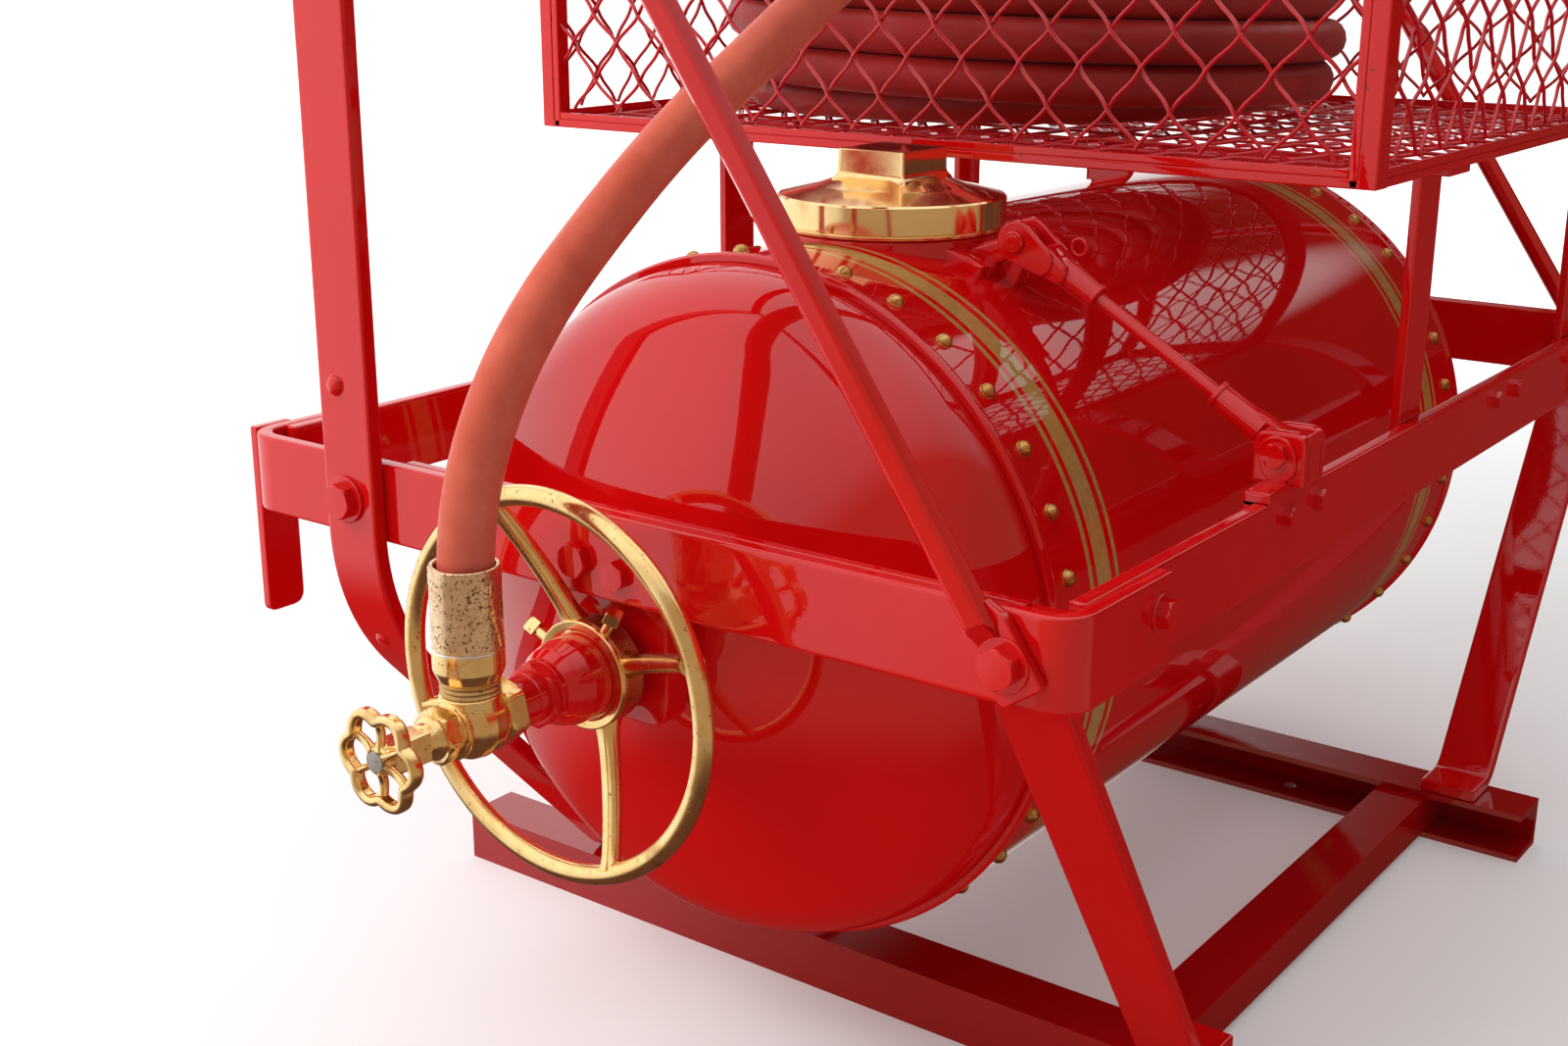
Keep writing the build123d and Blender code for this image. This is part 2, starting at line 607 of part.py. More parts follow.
# Outlet valve
hex_y = NEAR - HEX_OUT
pack_y = VALVE_Y - PACKING_OUT
stem_y = VALVE_Y - STEM_OUT
wheel_y = VALVE_Y - SMALL_WHEEL_OUT
valve = turned([(0, boss_y + TAIL_IN), (TAIL_R, boss_y + TAIL_IN), (TAIL_R, hex_y - RUN_FIT),
                (VALVE_NECK_R, hex_y - RUN_FIT), (VALVE_NECK_R, VALVE_Y + VALVE_R),
                (VALVE_R, VALVE_Y + VALVE_R / 3), (VALVE_R, VALVE_Y - VALVE_R / 3),
                (VALVE_NECK_R, VALVE_Y - VALVE_R), (VALVE_NECK_R, pack_y - PACKING_L / 2),
                (STEM_R, pack_y - PACKING_L), (STEM_R, stem_y), (SPINDLE_R, stem_y),
                (SPINDLE_R, wheel_y), (0, wheel_y)])
valve += hexagon(VALVE_HEX_R, VALVE_Y + VALVE_R - VALVE_HEX_L / 2, VALVE_Y + VALVE_R + VALVE_HEX_L / 2)
valve += hexagon(PACKING_HEX_R, pack_y - PACKING_L, pack_y)
valve += rod((0, VALVE_Y, AXIS_Z), (0, VALVE_Y, AXIS_Z + COUPLING_UP), NIPPLE_R)
save("angle_valve", valve)


def lobed(tip_r, waist_r):
    """Face of a closed outline of round lobes that meet at waists."""
    step = 360 / LOBES
    arcs = []
    for i in range(LOBES):
        places = []
        for turn, radius in ((-0.5, waist_r), (0, tip_r), (0.5, waist_r)):
            a = math.radians((i + turn) * step)
            places.append((radius * math.cos(a), radius * math.sin(a)))
        arcs += ThreePointArc(*places).edges()
    return make_face(arcs)


def valve_wheel():
    """Small lobed wheel whose spokes meet the rim at its waists."""
    rim = lobed(LOBE_R, WAIST_R) - lobed(LOBE_R - BAND_T, WAIST_R - BAND_T)
    centre = (0, wheel_y, AXIS_Z)
    wheel = extrude(side_plane(wheel_y + SMALL_WHEEL_T / 2) * Pos(0, AXIS_Z) * rim, amount=SMALL_WHEEL_T)
    half = SMALL_WHEEL_T / 2
    wheel += rod((0, wheel_y - half, AXIS_Z), (0, wheel_y + half, AXIS_Z), SMALL_HUB_R)
    for i in range(LOBES):
        a = math.radians((i + 0.5) * 360 / LOBES)
        reach = WAIST_R - BAND_T / 2
        wheel += rod(centre, (reach * math.cos(a), wheel_y, AXIS_Z + reach * math.sin(a)), SMALL_SPOKE_R)
    return wheel - rod((0, wheel_y, AXIS_Z), (0, wheel_y + SMALL_WHEEL_T, AXIS_Z), SPINDLE_R)


save("valve_wheel", valve_wheel())

# Hose coupling: threaded swivel, then a sleeve over the hose
coupling_z0 = AXIS_Z + COUPLING_UP
swivel_z = coupling_z0 + SWIVEL_L
sleeve_z = swivel_z + SLEEVE_L
SOCKET_Z = sleeve_z - SOCKET_DEPTH
coupling = turned_upright([(0, coupling_z0), (COUPLING_R, coupling_z0), (COUPLING_R, swivel_z - 1),
                           (COUPLING_R - 1, swivel_z), (COUPLING_R, swivel_z + 1),
                           (COUPLING_R - 0.5, sleeve_z - 2), (COUPLING_R - 2.5, sleeve_z),
                           (HOSE_R, sleeve_z), (HOSE_R, SOCKET_Z), (0, SOCKET_Z)], VALVE_Y)
save("hose_coupling", coupling)

# Basket frame


def long_angles(z_upright, z_flat):
    """Near and far angle bars along X, at the heights of their upright and flat legs' lower edges."""
    bars = []
    for y, side in ((BY0, 1), (BY1, -1)):
        upright = box(BX0, BX1, y, y + side * ANGLE_T, z_upright, z_upright + ANGLE_W)
        bars.append(upright + box(BX0, BX1, y, y + side * ANGLE_W, z_flat, z_flat + ANGLE_T))
    return bars


def short_angles(z_upright, z_flat):
    """Rear and front angle bars along Y, coped to fit between the long ones."""
    bars = []
    for x, side in ((BX0, 1), (BX1, -1)):
        upright = box(x, x + side * ANGLE_T, BY0 + ANGLE_T, BY1 - ANGLE_T, z_upright, z_upright + ANGLE_W)
        for y in (BY0, BY1 - ANGLE_W):
            upright -= box(BX0, BX1, y, y + ANGLE_W, z_flat, z_flat + ANGLE_T)
        flat = box(x, x + side * ANGLE_W, BY0 + ANGLE_W, BY1 - ANGLE_W, z_flat, z_flat + ANGLE_T)
        bars.append(upright + flat)
    return bars


save("basket_bottom_long", *long_angles(BZ0, BZ0))
save("basket_bottom_short", *short_angles(BZ0, BZ0))
save("basket_top_long", *long_angles(BZ1 - ANGLE_W, BZ1 - ANGLE_T))
save("basket_top_short", *short_angles(BZ1 - ANGLE_W, BZ1 - ANGLE_T))
uprights = []
for x, sx in ((BX0, 1), (BX1, -1)):
    for y, sy in ((BY0, 1), (BY1, -1)):
        across = box(x, x + sx * ANGLE_W, y, y + sy * ANGLE_T, BZ0 + ANGLE_W, BZ1 - ANGLE_W)
        uprights.append(across + box(x, x + sx * ANGLE_T, y, y + sy * ANGLE_W, BZ0 + ANGLE_W, BZ1 - ANGLE_W))
save("basket_uprights", *uprights)
bearers = []
stays = []
for inwards in STAY_IN:
    y = NEAR + inwards
    bearers.append(box(BX0 + ANGLE_W, BX1 - ANGLE_T, y, y + STAY_W, BZ0 - BEARER_T, BZ0))
    for side in (-1, 1):
        x0 = side * CROSS_IN
        stays.append(box(x0, x0 - side * STAY_T, y, y + STAY_W, RAIL_BOTTOM, BZ0 - BEARER_T))
save("basket_bearers", *bearers)
save("basket_stays", *stays)


def wires(width, height):
    """Ends (u0, v0, u1, v1) of the wires of a diamond mesh, rising and falling ones, which meet at v = 0."""
    slope = MESH_RISE / MESH_PITCH
    reach = height / slope
    rising = []
    falling = []
    for i in range(-int(reach / MESH_PITCH) - 1, int((width + reach) / MESH_PITCH) + 2):
        start = (i + 0.5) * MESH_PITCH
        for lines, side in ((rising, 1), (falling, -1)):
            u0, u1 = sorted((start, start + side * reach))
            u0 = max(u0, 0)
            u1 = min(u1, width)
            if u1 - u0 > SHORT_WIRE:
                lines.append((u0, side * (u0 - start) * slope, u1, side * (u1 - start) * slope))
    return rising, falling


def mesh_panel(width, height, place):
    """Two layers of square wires on a panel; place takes (u, v, depth) to the part's frame."""
    bars = []
    for layer, lines in enumerate(wires(width, height)):
        depth = (WIRE + WIRE_GAP) * (layer - 0.5)
        for u0, v0, u1, v1 in lines:
            angle = math.degrees(math.atan2(v1 - v0, u1 - u0))
            bar = Box(math.hypot(u1 - u0, v1 - v0) - WIRE, WIRE, WIRE)
            bars.append(place * Pos((u0 + u1) / 2, (v0 + v1) / 2, depth) * Rot(0, 0, angle) * bar)
    return bars


inset = ANGLE_T + WIRE + WIRE_GAP
mesh_x0 = BX0 + inset + WIRE
mesh_y0 = BY0 + inset + WIRE
mesh_z0 = BZ0 + MESH_FOOT
mesh_w = BX1 - BX0 - 2 * (inset + WIRE)
mesh_d = BASKET_L - 2 * (inset + WIRE)
mesh_h = BASKET_H - 2 * MESH_FOOT
facing_near = {"x_dir": (1, 0, 0), "z_dir": (0, -1, 0)}
facing_front = {"x_dir": (0, 1, 0), "z_dir": (1, 0, 0)}
PANELS = (  # name, width, height, plane
    ("mesh_near", mesh_w, mesh_h, Plane((mesh_x0, BY0 + inset, mesh_z0), **facing_near)),
    ("mesh_far", mesh_w, mesh_h, Plane((mesh_x0, BY1 - inset, mesh_z0), **facing_near)),
    ("mesh_rear", mesh_d - 2 * MESH_EDGE, mesh_h,
     Plane((BX0 + inset, mesh_y0 + MESH_EDGE, mesh_z0), **facing_front)),
    ("mesh_front", mesh_d - 2 * MESH_EDGE, mesh_h,
     Plane((BX1 - inset, mesh_y0 + MESH_EDGE, mesh_z0), **facing_front)),
    ("mesh_floor", mesh_w, mesh_d, Plane((mesh_x0, mesh_y0, BZ0 + inset), x_dir=(1, 0, 0), z_dir=(0, 0, 1))),
)
for name, width, height, plane in PANELS:
    save(name, *mesh_panel(width, height, plane))

# Hose: the run's last points lead onto the coil's front end
coil_y = NEAR + COIL_IN
coil_z0 = BZ0 + inset + WIRE + WIRE_GAP
coil_z1 = coil_z0 + COIL_LAYERS * COIL_STEP
coil_end = COIL_X[1] + COIL_R
HOSE_POINTS = (
    (0, VALVE_Y, SOCKET_Z), (0, VALVE_Y, AXIS_Z + 122), (2, NEAR - 111, AXIS_Z + 176),
    (4, NEAR - 86, AXIS_Z + 226), (5, NEAR - 50, AXIS_Z + 269), (5, NEAR - 4, AXIS_Z + 307),
    (16, NEAR + 70, AXIS_Z + 370), (32, NEAR + 150, AXIS_Z + 424), (43, NEAR + 235, AXIS_Z + 478),
    (52, NEAR + 318, AXIS_Z + 522), (61, NEAR + 390, AXIS_Z + 544), (76, NEAR + 465, AXIS_Z + 546),
    (98, NEAR + 545, AXIS_Z + 530), (coil_end - 69, coil_y - 143, coil_z1 + 23),
    (coil_end - 44, coil_y - 63, coil_z1 + 8), (coil_end - 27, coil_y + 12, coil_z1 + 1))


def tube_along(points, radius):
    """Round tube along straight runs joined by tangent arcs."""
    places = [Vector(*p) for p in points]
    radii = []
    for before, corner, after in zip(places, places[1:], places[2:]):
        turn = math.radians((corner - before).get_angle(after - corner))
        shorter = min((corner - before).length, (after - corner).length)
        radii.append(0.45 * shorter / math.tan(turn / 2))
    print("bend radii", [round(r) for r in radii])
    path = FilletPolyline(*places, radius=radii)
    return sweep(Plane(origin=path @ 0, z_dir=path % 0) * Circle(radius), path=path)


save("hose_run", tube_along(HOSE_POINTS, HOSE_R))


def oval(radius):
    """Upright block with two round ends, round the coil's two centres."""
    rear, front = [(Pos(x, coil_y) * Circle(radius)).edges() for x in COIL_X]
    outline = make_hull(rear + front)
    return Pos(0, 0, coil_z0) * extrude(outline, amount=coil_z1 - coil_z0)


save("hose_coil", oval(COIL_R) - oval(COIL_R - COIL_WIDE))
nozzle_plane = Plane((NOZZLE_X, NEAR + NOZZLE_IN, coil_z1 + COLLAR_R), x_dir=(0, 1, 0), z_dir=(1, 0, 0))
standing = (Align.CENTER, Align.CENTER, Align.MIN)
nozzle = nozzle_plane * Cylinder(COLLAR_R, COLLAR_L, align=standing)
nozzle += nozzle_plane * Pos(0, 0, COLLAR_L) * Cone(*NOZZLE_R, NOZZLE_L - COLLAR_L, align=standing)
save("hose_nozzle", nozzle)
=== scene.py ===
# %% [markdown]
# # A revolving chemical tank unit
#
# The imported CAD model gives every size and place. This notebook lays finished surfaces over it: enamel,
# polished brass, rubber hose and crimped wire. All lengths are in metres, in the CAD model's frame:
# X is the vehicle's front, Y goes away from the handwheel side, Z is up.

import math

import bmesh
import bpy
import numpy as np
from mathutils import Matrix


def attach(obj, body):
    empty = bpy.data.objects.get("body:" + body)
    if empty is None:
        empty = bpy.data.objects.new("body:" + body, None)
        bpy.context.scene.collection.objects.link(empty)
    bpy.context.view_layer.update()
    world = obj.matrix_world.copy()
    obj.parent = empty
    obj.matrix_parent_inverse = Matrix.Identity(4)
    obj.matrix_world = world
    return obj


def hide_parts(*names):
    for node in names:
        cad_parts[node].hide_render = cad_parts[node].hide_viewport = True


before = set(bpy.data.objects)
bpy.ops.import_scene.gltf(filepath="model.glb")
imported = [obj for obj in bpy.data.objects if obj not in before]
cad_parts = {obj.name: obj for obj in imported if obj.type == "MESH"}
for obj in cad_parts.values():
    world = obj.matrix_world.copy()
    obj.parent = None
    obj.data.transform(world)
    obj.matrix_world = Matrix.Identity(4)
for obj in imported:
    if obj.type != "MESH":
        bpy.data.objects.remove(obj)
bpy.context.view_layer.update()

# %% [markdown]
# ## Sizes that several pieces share
#
# They repeat the named values of the CAD source, in metres, so that a dressed piece lies where its solid
# does. A size that only one piece needs stands beside that piece.

# %% Sizes
X, Y, Z = np.eye(3)
AXIS_Z = 0.380
NEAR = -0.600
RAIL_H, RAIL_T = 0.0635, 0.0127
RAIL_TOP = AXIS_Z + 0.1177
RAIL_BOTTOM = RAIL_TOP - RAIL_H
STIFF_T = 0.009
BACK = NEAR + RAIL_T + STIFF_T
SIDE_X = 0.386
CROSS_X = SIDE_X - RAIL_T
CROSS_IN = CROSS_X - RAIL_T
SILL_Y, SILL_H = NEAR + 0.265, 0.050
TANK_R = 0.2735
SEAM = 0.420
FILL_Y = NEAR + 0.372
LOCK_Y = NEAR + 0.360
VALVE_Y = NEAR - 0.123
HOSE_R = 0.019
BX0, BX1 = -0.443, 0.386
BY0, BY1 = NEAR + 0.425, NEAR + 1.075
BZ0 = AXIS_Z + TANK_R + 0.0545
BZ1 = BZ0 + 0.190
COIL_X = (-0.165, -0.055)
COIL_Y = NEAR + 0.768
COIL_TOP = BZ0 + 0.0102 + 4 * 0.037
FAR = np.array((1.0, -1.0, 1.0))
TANK_AXIS = dict(origin=(0, 0, AXIS_Z), axis=Y)
print("basket", (BX0, BY0, BZ0), (BX1, BY1, BZ1), "coil top", round(COIL_TOP, 4))

# %% [markdown]
# ## Camera
#
# A camera could be placed by eye, but then no edge would fall on its edge in the photograph. This viewpoint
# was solved from points read off it: 37 degrees round from the handwheel side to the front, 17 degrees down.

# %% Camera
camera = bpy.data.objects.new("camera", bpy.data.cameras.new("camera"))
bpy.context.scene.collection.objects.link(camera)
camera.location = (0.90104, -1.56774, 0.88766)
camera.rotation_euler = (math.radians(90 - 16.837), 0, math.radians(37.070))
camera.data.sensor_fit = "HORIZONTAL"
camera.data.sensor_width = 36
camera.data.lens = 1991.73 / 1600 * 36
camera.data.clip_start = 0.01
bpy.context.scene.camera = camera
print("lens", round(camera.data.lens, 2), "mm")

# %% [markdown]
# ## Light
#
# Gloss shows what stands round it, so a plain white world would leave brass and enamel flat. Here the world
# is white where the camera sees it. To gloss it is a room: pale overhead and towards the rear, a warm middle
# tone towards the front, dark low down and beyond the far side, where one soft box hangs. Diffuse light comes
# from a sky that is brighter overhead and weaker at the front, and from two lamps that gloss doesn't mirror.

# %% Node tools
def put(tree, socket, value):
    """Gives an input a value, or links it to another node's output."""
    if isinstance(value, bpy.types.NodeSocket):
        tree.links.new(value, socket)
    else:
        socket.default_value = value


def add(tree, kind, inputs=None, **settings):
    """New shader node with its settings, and its inputs by name or number."""
    made = tree.nodes.new("ShaderNode" + kind)
    for key, value in settings.items():
        setattr(made, key, value)
    for key, value in (inputs or {}).items():
        put(tree, made.inputs[key], value)
    return made


def ramp(tree, factor, *stops):
    """Colour ramp through (position, colour) stops."""
    made = add(tree, "ValToRGB", {"Fac": factor})
    elements = made.color_ramp.elements
    while len(elements) < len(stops):
        elements.new(0.5)
    for element, (position, colour) in zip(elements, stops):
        element.position = position
        element.color = (*colour, 1.0)
    return made.outputs["Color"]


def band(tree, value, low, high, out_low=0.0, out_high=1.0):
    """Smooth step of a value from low to high."""
    inputs = {0: value, 1: low, 2: high, 3: out_low, 4: out_high}
    return add(tree, "MapRange", inputs, interpolation_type="SMOOTHSTEP").outputs[0]


def maths(tree, operation, a, b=0.0, c=0.0):
    """Result of one Math node."""
    return add(tree, "Math", {0: a, 1: b, 2: c}, operation=operation).outputs[0]


def background(tree, colour, strength):
    """Light of a colour and strength from the world."""
    return add(tree, "Background", {"Color": colour, "Strength": strength}).outputs[0]


def mix(tree, share, a, b):
    """Shader a, and b for that share."""
    return add(tree, "MixShader", {0: share, 1: a, 2: b}).outputs[0]


print("node tools ready")

# %% World
DIM = (0.12, 0.036, 0.021, 1.0)
MIDDLE = (0.44, 0.33, 0.23)
SOFT_BOX = (0.20, 0.83, 0.52)
world = bpy.data.worlds.new("studio")
bpy.context.scene.world = world
world.use_nodes = True
tree = world.node_tree
tree.nodes.clear()
direction = add(tree, "TexCoord").outputs["Generated"]
to_x, to_y, to_z = add(tree, "SeparateXYZ", {0: direction}).outputs
side = maths(tree, "MULTIPLY_ADD", to_y, 0.2, maths(tree, "MULTIPLY", to_x, -1.0))
side = maths(tree, "MULTIPLY_ADD", to_z, 0.9, side)
stops = ((0.0, MIDDLE), (0.20, MIDDLE), (0.38, (0.85, 0.83, 0.82)), (1.0, (1.3, 1.3, 1.3)))
room = ramp(tree, band(tree, side, -0.45, 0.75), *stops)
beyond = maths(tree, "MULTIPLY", band(tree, to_y, 0.55, 0.78), band(tree, to_x, -0.50, -0.25))
beyond = maths(tree, "MULTIPLY", beyond, band(tree, to_z, 0.55, 0.68, 1.0, 0.0))
box = add(tree, "VectorMath", {0: direction, 1: SOFT_BOX}, operation="DOT_PRODUCT").outputs["Value"]
beyond = maths(tree, "MULTIPLY", beyond, band(tree, box, 0.975, 0.985, 1.0, 0.0))
dark = maths(tree, "MAXIMUM", beyond, band(tree, to_z, -0.65, -0.38, 1.0, 0.0))
sky = ramp(tree, band(tree, to_z, -0.6, 0.8), (0.0, (0.40, 0.40, 0.40)), (1.0, (0.88, 0.88, 0.88)))
path = add(tree, "LightPath").outputs
mirrored_world = mix(tree, dark, background(tree, room, 1.0), background(tree, DIM, 0.8))
lit = background(tree, sky, band(tree, to_x, -0.4, 0.8, 0.84, 0.50))
unseen = mix(tree, path["Is Glossy Ray"], lit, mirrored_world)
shown = maths(tree, "MAXIMUM", path["Is Camera Ray"], path["Is Transmission Ray"])
surface = mix(tree, shown, unseen, background(tree, (1, 1, 1, 1), 1.0))
put(tree, add(tree, "OutputWorld").inputs["Surface"], surface)
print("world nodes", len(tree.nodes))


# %% Lamps
def lamp(name, place, target, size, energy):
    """Square area lamp that faces its target; gloss mirrors the pale room and not the lamp."""
    data = bpy.data.lights.new(name, "AREA")
    data.size = size
    data.energy = energy
    made = bpy.data.objects.new(name, data)
    bpy.context.scene.collection.objects.link(made)
    made.location = place
    made.visible_glossy = False
    to_x, to_y, to_z = np.subtract(target, place)
    made.rotation_euler = (math.atan2(math.hypot(to_x, to_y), -to_z), 0, math.atan2(to_y, to_x) - math.pi / 2)


lamp("key", (-2.2, -2.6, 3.0), (0, -0.2, 0.5), 2.4, 115)
lamp("top", (0.4, 0.6, 3.6), (0, 0, 0.5), 2.2, 14)

# %% Floor
reach = 12.0
corners = [(-reach, -reach, 0), (reach, -reach, 0), (reach, reach, 0), (-reach, reach, 0)]
floor_mesh = bpy.data.meshes.new("floor")
floor_mesh.from_pydata(corners, [], [(0, 1, 2, 3)])
floor = bpy.data.objects.new("floor", floor_mesh)
bpy.context.scene.collection.objects.link(floor)
floor_material = bpy.data.materials.new("floor")
floor_material.use_nodes = True
tree = floor_material.node_tree
shader = tree.nodes["Principled BSDF"]
shader.inputs["Base Color"].default_value = (0.86, 0.86, 0.86, 1)
shader.inputs["Roughness"].default_value = 0.9
shader.inputs["Specular IOR Level"].default_value = 0.1
place = add(tree, "TexCoord").outputs["Object"]
distance = add(tree, "VectorMath", {0: place}, operation="LENGTH").outputs["Value"]
path = add(tree, "LightPath").outputs
whiter = maths(tree, "MULTIPLY", path["Is Camera Ray"], band(tree, distance, 1.3, 4.0, 0.12, 0.9))
glow = add(tree, "Emission", {"Color": (1, 1, 1, 1), "Strength": whiter})
total = add(tree, "AddShader", {0: shader.outputs[0], 1: glow.outputs[0]})
clear = maths(tree, "MULTIPLY", path["Is Glossy Ray"], 0.96)
surface = mix(tree, clear, total.outputs[0], add(tree, "BsdfTransparent").outputs[0])
put(tree, tree.nodes["Material Output"].inputs["Surface"], surface)
floor_mesh.materials.append(floor_material)
bpy.context.scene.view_settings.view_transform = "Standard"
print("floor", 2 * reach, "m wide")

# %% [markdown]
# ## Geometry tools
#
# A shape is three things: its points, its four-sided faces, and its flat end faces. Blender's own primitives
# and modifiers could make such bars and discs one by one. Here most are skins over a grid of points, whose
# rows follow an outline and whose order goes along a path or round an axis, since one formula then serves
# bent rails, turned brass and wire alike.

# %% Skins and how they are joined
def unit(vector):
    """Vector of length one."""
    vector = np.asarray(vector, float)
    return vector / np.linalg.norm(vector, axis=-1, keepdims=True)


def skin(rows, wrap=False):
    """Faces over a grid of points; each row closes on itself, and the rows too where wrap is set."""
    n, m = rows.shape[:2]
    i = np.arange(n if wrap else n - 1)[:, None] * m
    following = (i + m) % (n * m)
    j = np.arange(m)[None, :]
    beside = (j + 1) % m
    quads = np.stack([i + j, i + beside, following + beside, following + j], -1).reshape(-1, 4)
    ends = [] if wrap else [np.arange(m)[::-1], np.arange(m) + (n - 1) * m]
    return rows.reshape(-1, 3), quads, ends


def merge(*shapes):
    """One shape made of several."""
    points, quads, ends, start = [], [], [], 0
    for shape_points, shape_quads, shape_ends in shapes:
        points.append(shape_points)
        quads.append(shape_quads + start)
        ends += [end + start for end in shape_ends]
        start += len(shape_points)
    return np.concatenate(points), np.concatenate(quads), ends


def mirrored(shape):
    """The shape's mirror image on the far side, with its faces turned outwards again."""
    points, quads, ends = shape
    return points * FAR, quads[:, ::-1], [end[::-1] for end in ends]


def far_too(*shapes):
    """The shapes and their mirror images on the far side."""
    return merge(*shapes, *[mirrored(shape) for shape in shapes])


print("skins ready")


# %% Outlines
def rounded(points, radius, closed=False, steps=4, hold=0.0):
    """Polyline with round corners.

    A corner p becomes the curve p + (1 - s)^2 a + s^2 b for s from 0 to 1, where p + a and p + b are
    the places at which the curve starts and ends. With hold, one more point that far on keeps the
    straight side straight.
    """
    points = np.asarray(points, float)
    radius = np.broadcast_to(radius, len(points))
    s = np.linspace(0, 1, steps + 1)[:, None]
    out = []
    for i, p in enumerate(points):
        if radius[i] <= 0 or (not closed and i in (0, len(points) - 1)):
            out.append(p[None])
            continue
        a = points[i - 1] - p
        b = points[(i + 1) % len(points)] - p
        la, lb = np.linalg.norm(a), np.linalg.norm(b)
        half = 0.5 * math.acos(np.clip(a @ b / (la * lb), -1, 1))
        t = min(radius[i] / math.tan(half), 0.45 * la, 0.45 * lb)
        curve = [p + (1 - s) ** 2 * a / la * t + s**2 * b / lb * t]
        if hold and t + hold < 0.48 * la:
            curve.insert(0, (p + a / la * (t + hold))[None])
        if hold and t + hold < 0.48 * lb:
            curve.append((p + b / lb * (t + hold))[None])
        out.append(np.concatenate(curve))
    return np.concatenate(out)


def smooth_path(stations, closed=False, steps=4):
    """Polyline through (x, y, rounding of that corner) stations."""
    table = np.array(stations, float)
    return rounded(table[:, :2], table[:, 2], closed, steps)


def round_rectangle(width, height, radius, steps=3, hold=0.002):
    """Outline of a rectangle with round corners, about its middle."""
    w, h = width / 2, height / 2
    return rounded([(-w, -h), (w, -h), (w, h), (-w, h)], radius, True, steps, hold)


def circle(radius, count=16):
    """Outline of a circle about its middle."""
    turn = np.linspace(0, 2 * np.pi, count, endpoint=False)
    return radius * np.stack([np.cos(turn), np.sin(turn)], -1)


def link(p, q, r_p, r_q, steps=14):
    """Outline of a bar with a round end at p and another at q, joined by tangents."""
    p, q = np.asarray(p, float), np.asarray(q, float)
    run = q - p
    base = math.atan2(run[1], run[0])
    lean = math.acos((r_p - r_q) / np.linalg.norm(run))
    back = np.linspace(base + lean, base + 2 * math.pi - lean, steps)
    front = np.linspace(base - lean, base + lean, steps)
    rear_end = p + r_p * np.stack([np.cos(back), np.sin(back)], -1)
    front_end = q + r_q * np.stack([np.cos(front), np.sin(front)], -1)
    return np.concatenate([rear_end, front_end])


print("outlines ready")


# %% Turned pieces
def way(degrees):
    """Direction square to the tank's axis, at an angle up from the vehicle's front."""
    return np.array((math.cos(math.radians(degrees)), 0.0, math.sin(math.radians(degrees))))


def lathe(radii, heights, origin, axis):
    """Skin whose ring k lies at heights[k] along the axis; radii has one number per ring and direction."""
    w = unit(axis)
    u = unit(np.cross(w, Z if abs(w[2]) < 0.9 else X))
    v = np.cross(w, u)
    turn = np.linspace(0, 2 * np.pi, radii.shape[1], endpoint=False)
    ring = np.cos(turn)[:, None] * u + np.sin(turn)[:, None] * v
    return np.asarray(origin, float) + radii[..., None] * ring + np.asarray(heights)[:, None, None] * w


def turned(profile, origin=(0, 0, 0), axis=Z, segments=96, wrap=False):
    """Surface of revolution of a (radius, height) profile about the axis through origin."""
    profile = np.asarray(profile, float)
    radii = np.repeat(profile[:, :1], segments, 1)
    return skin(lathe(radii, profile[:, 1], origin, axis), wrap)


def lathed(stations, closed=False, steps=4, **place):
    """Turned piece from (radius, height, rounding of that corner) stations."""
    return turned(smooth_path(stations, closed, steps), wrap=closed, **place)


def outwards(face, stations):
    """Stations whose height is given as the distance in front of a face on the handwheel side."""
    return [(radius, face - distance, *rest) for radius, distance, *rest in stations]


def dome(place, axis, radius, height, segments=40):
    """Round head, such as a rivet's: a flattened ball on a small fillet."""
    turn = np.linspace(0, np.pi / 2, 9)
    ball = [(radius * math.cos(t), height * (0.12 + 0.88 * math.sin(t))) for t in turn]
    rim = [(0, -0.001), (radius * 1.12, -0.001), (radius * 1.12, 0.0), (radius * 1.02, height * 0.08)]
    return turned(rim + ball, place, axis, segments)


def polygon_radius(count, sides, turn=0.0):
    """Distance from a regular polygon's middle to its outline, as a share of the distance to its flats."""
    angle = np.linspace(0, 2 * np.pi, count, endpoint=False) + turn
    step = 2 * np.pi / sides
    return 1 / np.cos(angle % step - step / 2)


def nut(origin, axis, flat, height, sides=6, turn=0.0, soft=1.0, both=False):
    """Bolt head or nut: at each height, where a polygon and a circle that shrinks at the faces overlap."""
    shape = polygon_radius(72, sides, turn)
    corner = 1 / math.cos(math.pi / sides)
    foot = [(0.0, 0.93 / corner), (0.05, 0.97), (0.2, 1.0)] if both else [(0.0, 1.0), (0.06, 1.0)]
    limits = foot + [(0.7, 1.0), (0.84, 0.985), (0.95, 0.93), (1.0, 0.88 * soft)]
    radii = [flat * np.minimum(shape, corner * limit) for _, limit in limits]
    radii += [np.full(72, flat * 0.5), np.zeros(72)]
    heights = [height * h for h, _ in limits] + [height * 1.02, height * 1.025]
    return skin(lathe(np.array(radii), heights, origin, axis))


def bolt(place, axis, flat=0.0095, height=0.008, turn=0.3, washer=0.0):
    """Hexagon head that stands on a face, with a washer where one shows."""
    axis = unit(axis)
    place = np.asarray(place, float)
    shapes = [nut(place + axis * washer * 0.9, axis, flat, height, turn=turn)]
    if washer:
        rim = flat * 1.5
        stations = [(0, 0, 0), (rim, 0, 0), (rim, washer, washer * 0.6), (0, washer, 0)]
        shapes.append(lathed(stations, origin=place, axis=axis, segments=48))
    return merge(*shapes)


print("turned pieces ready")


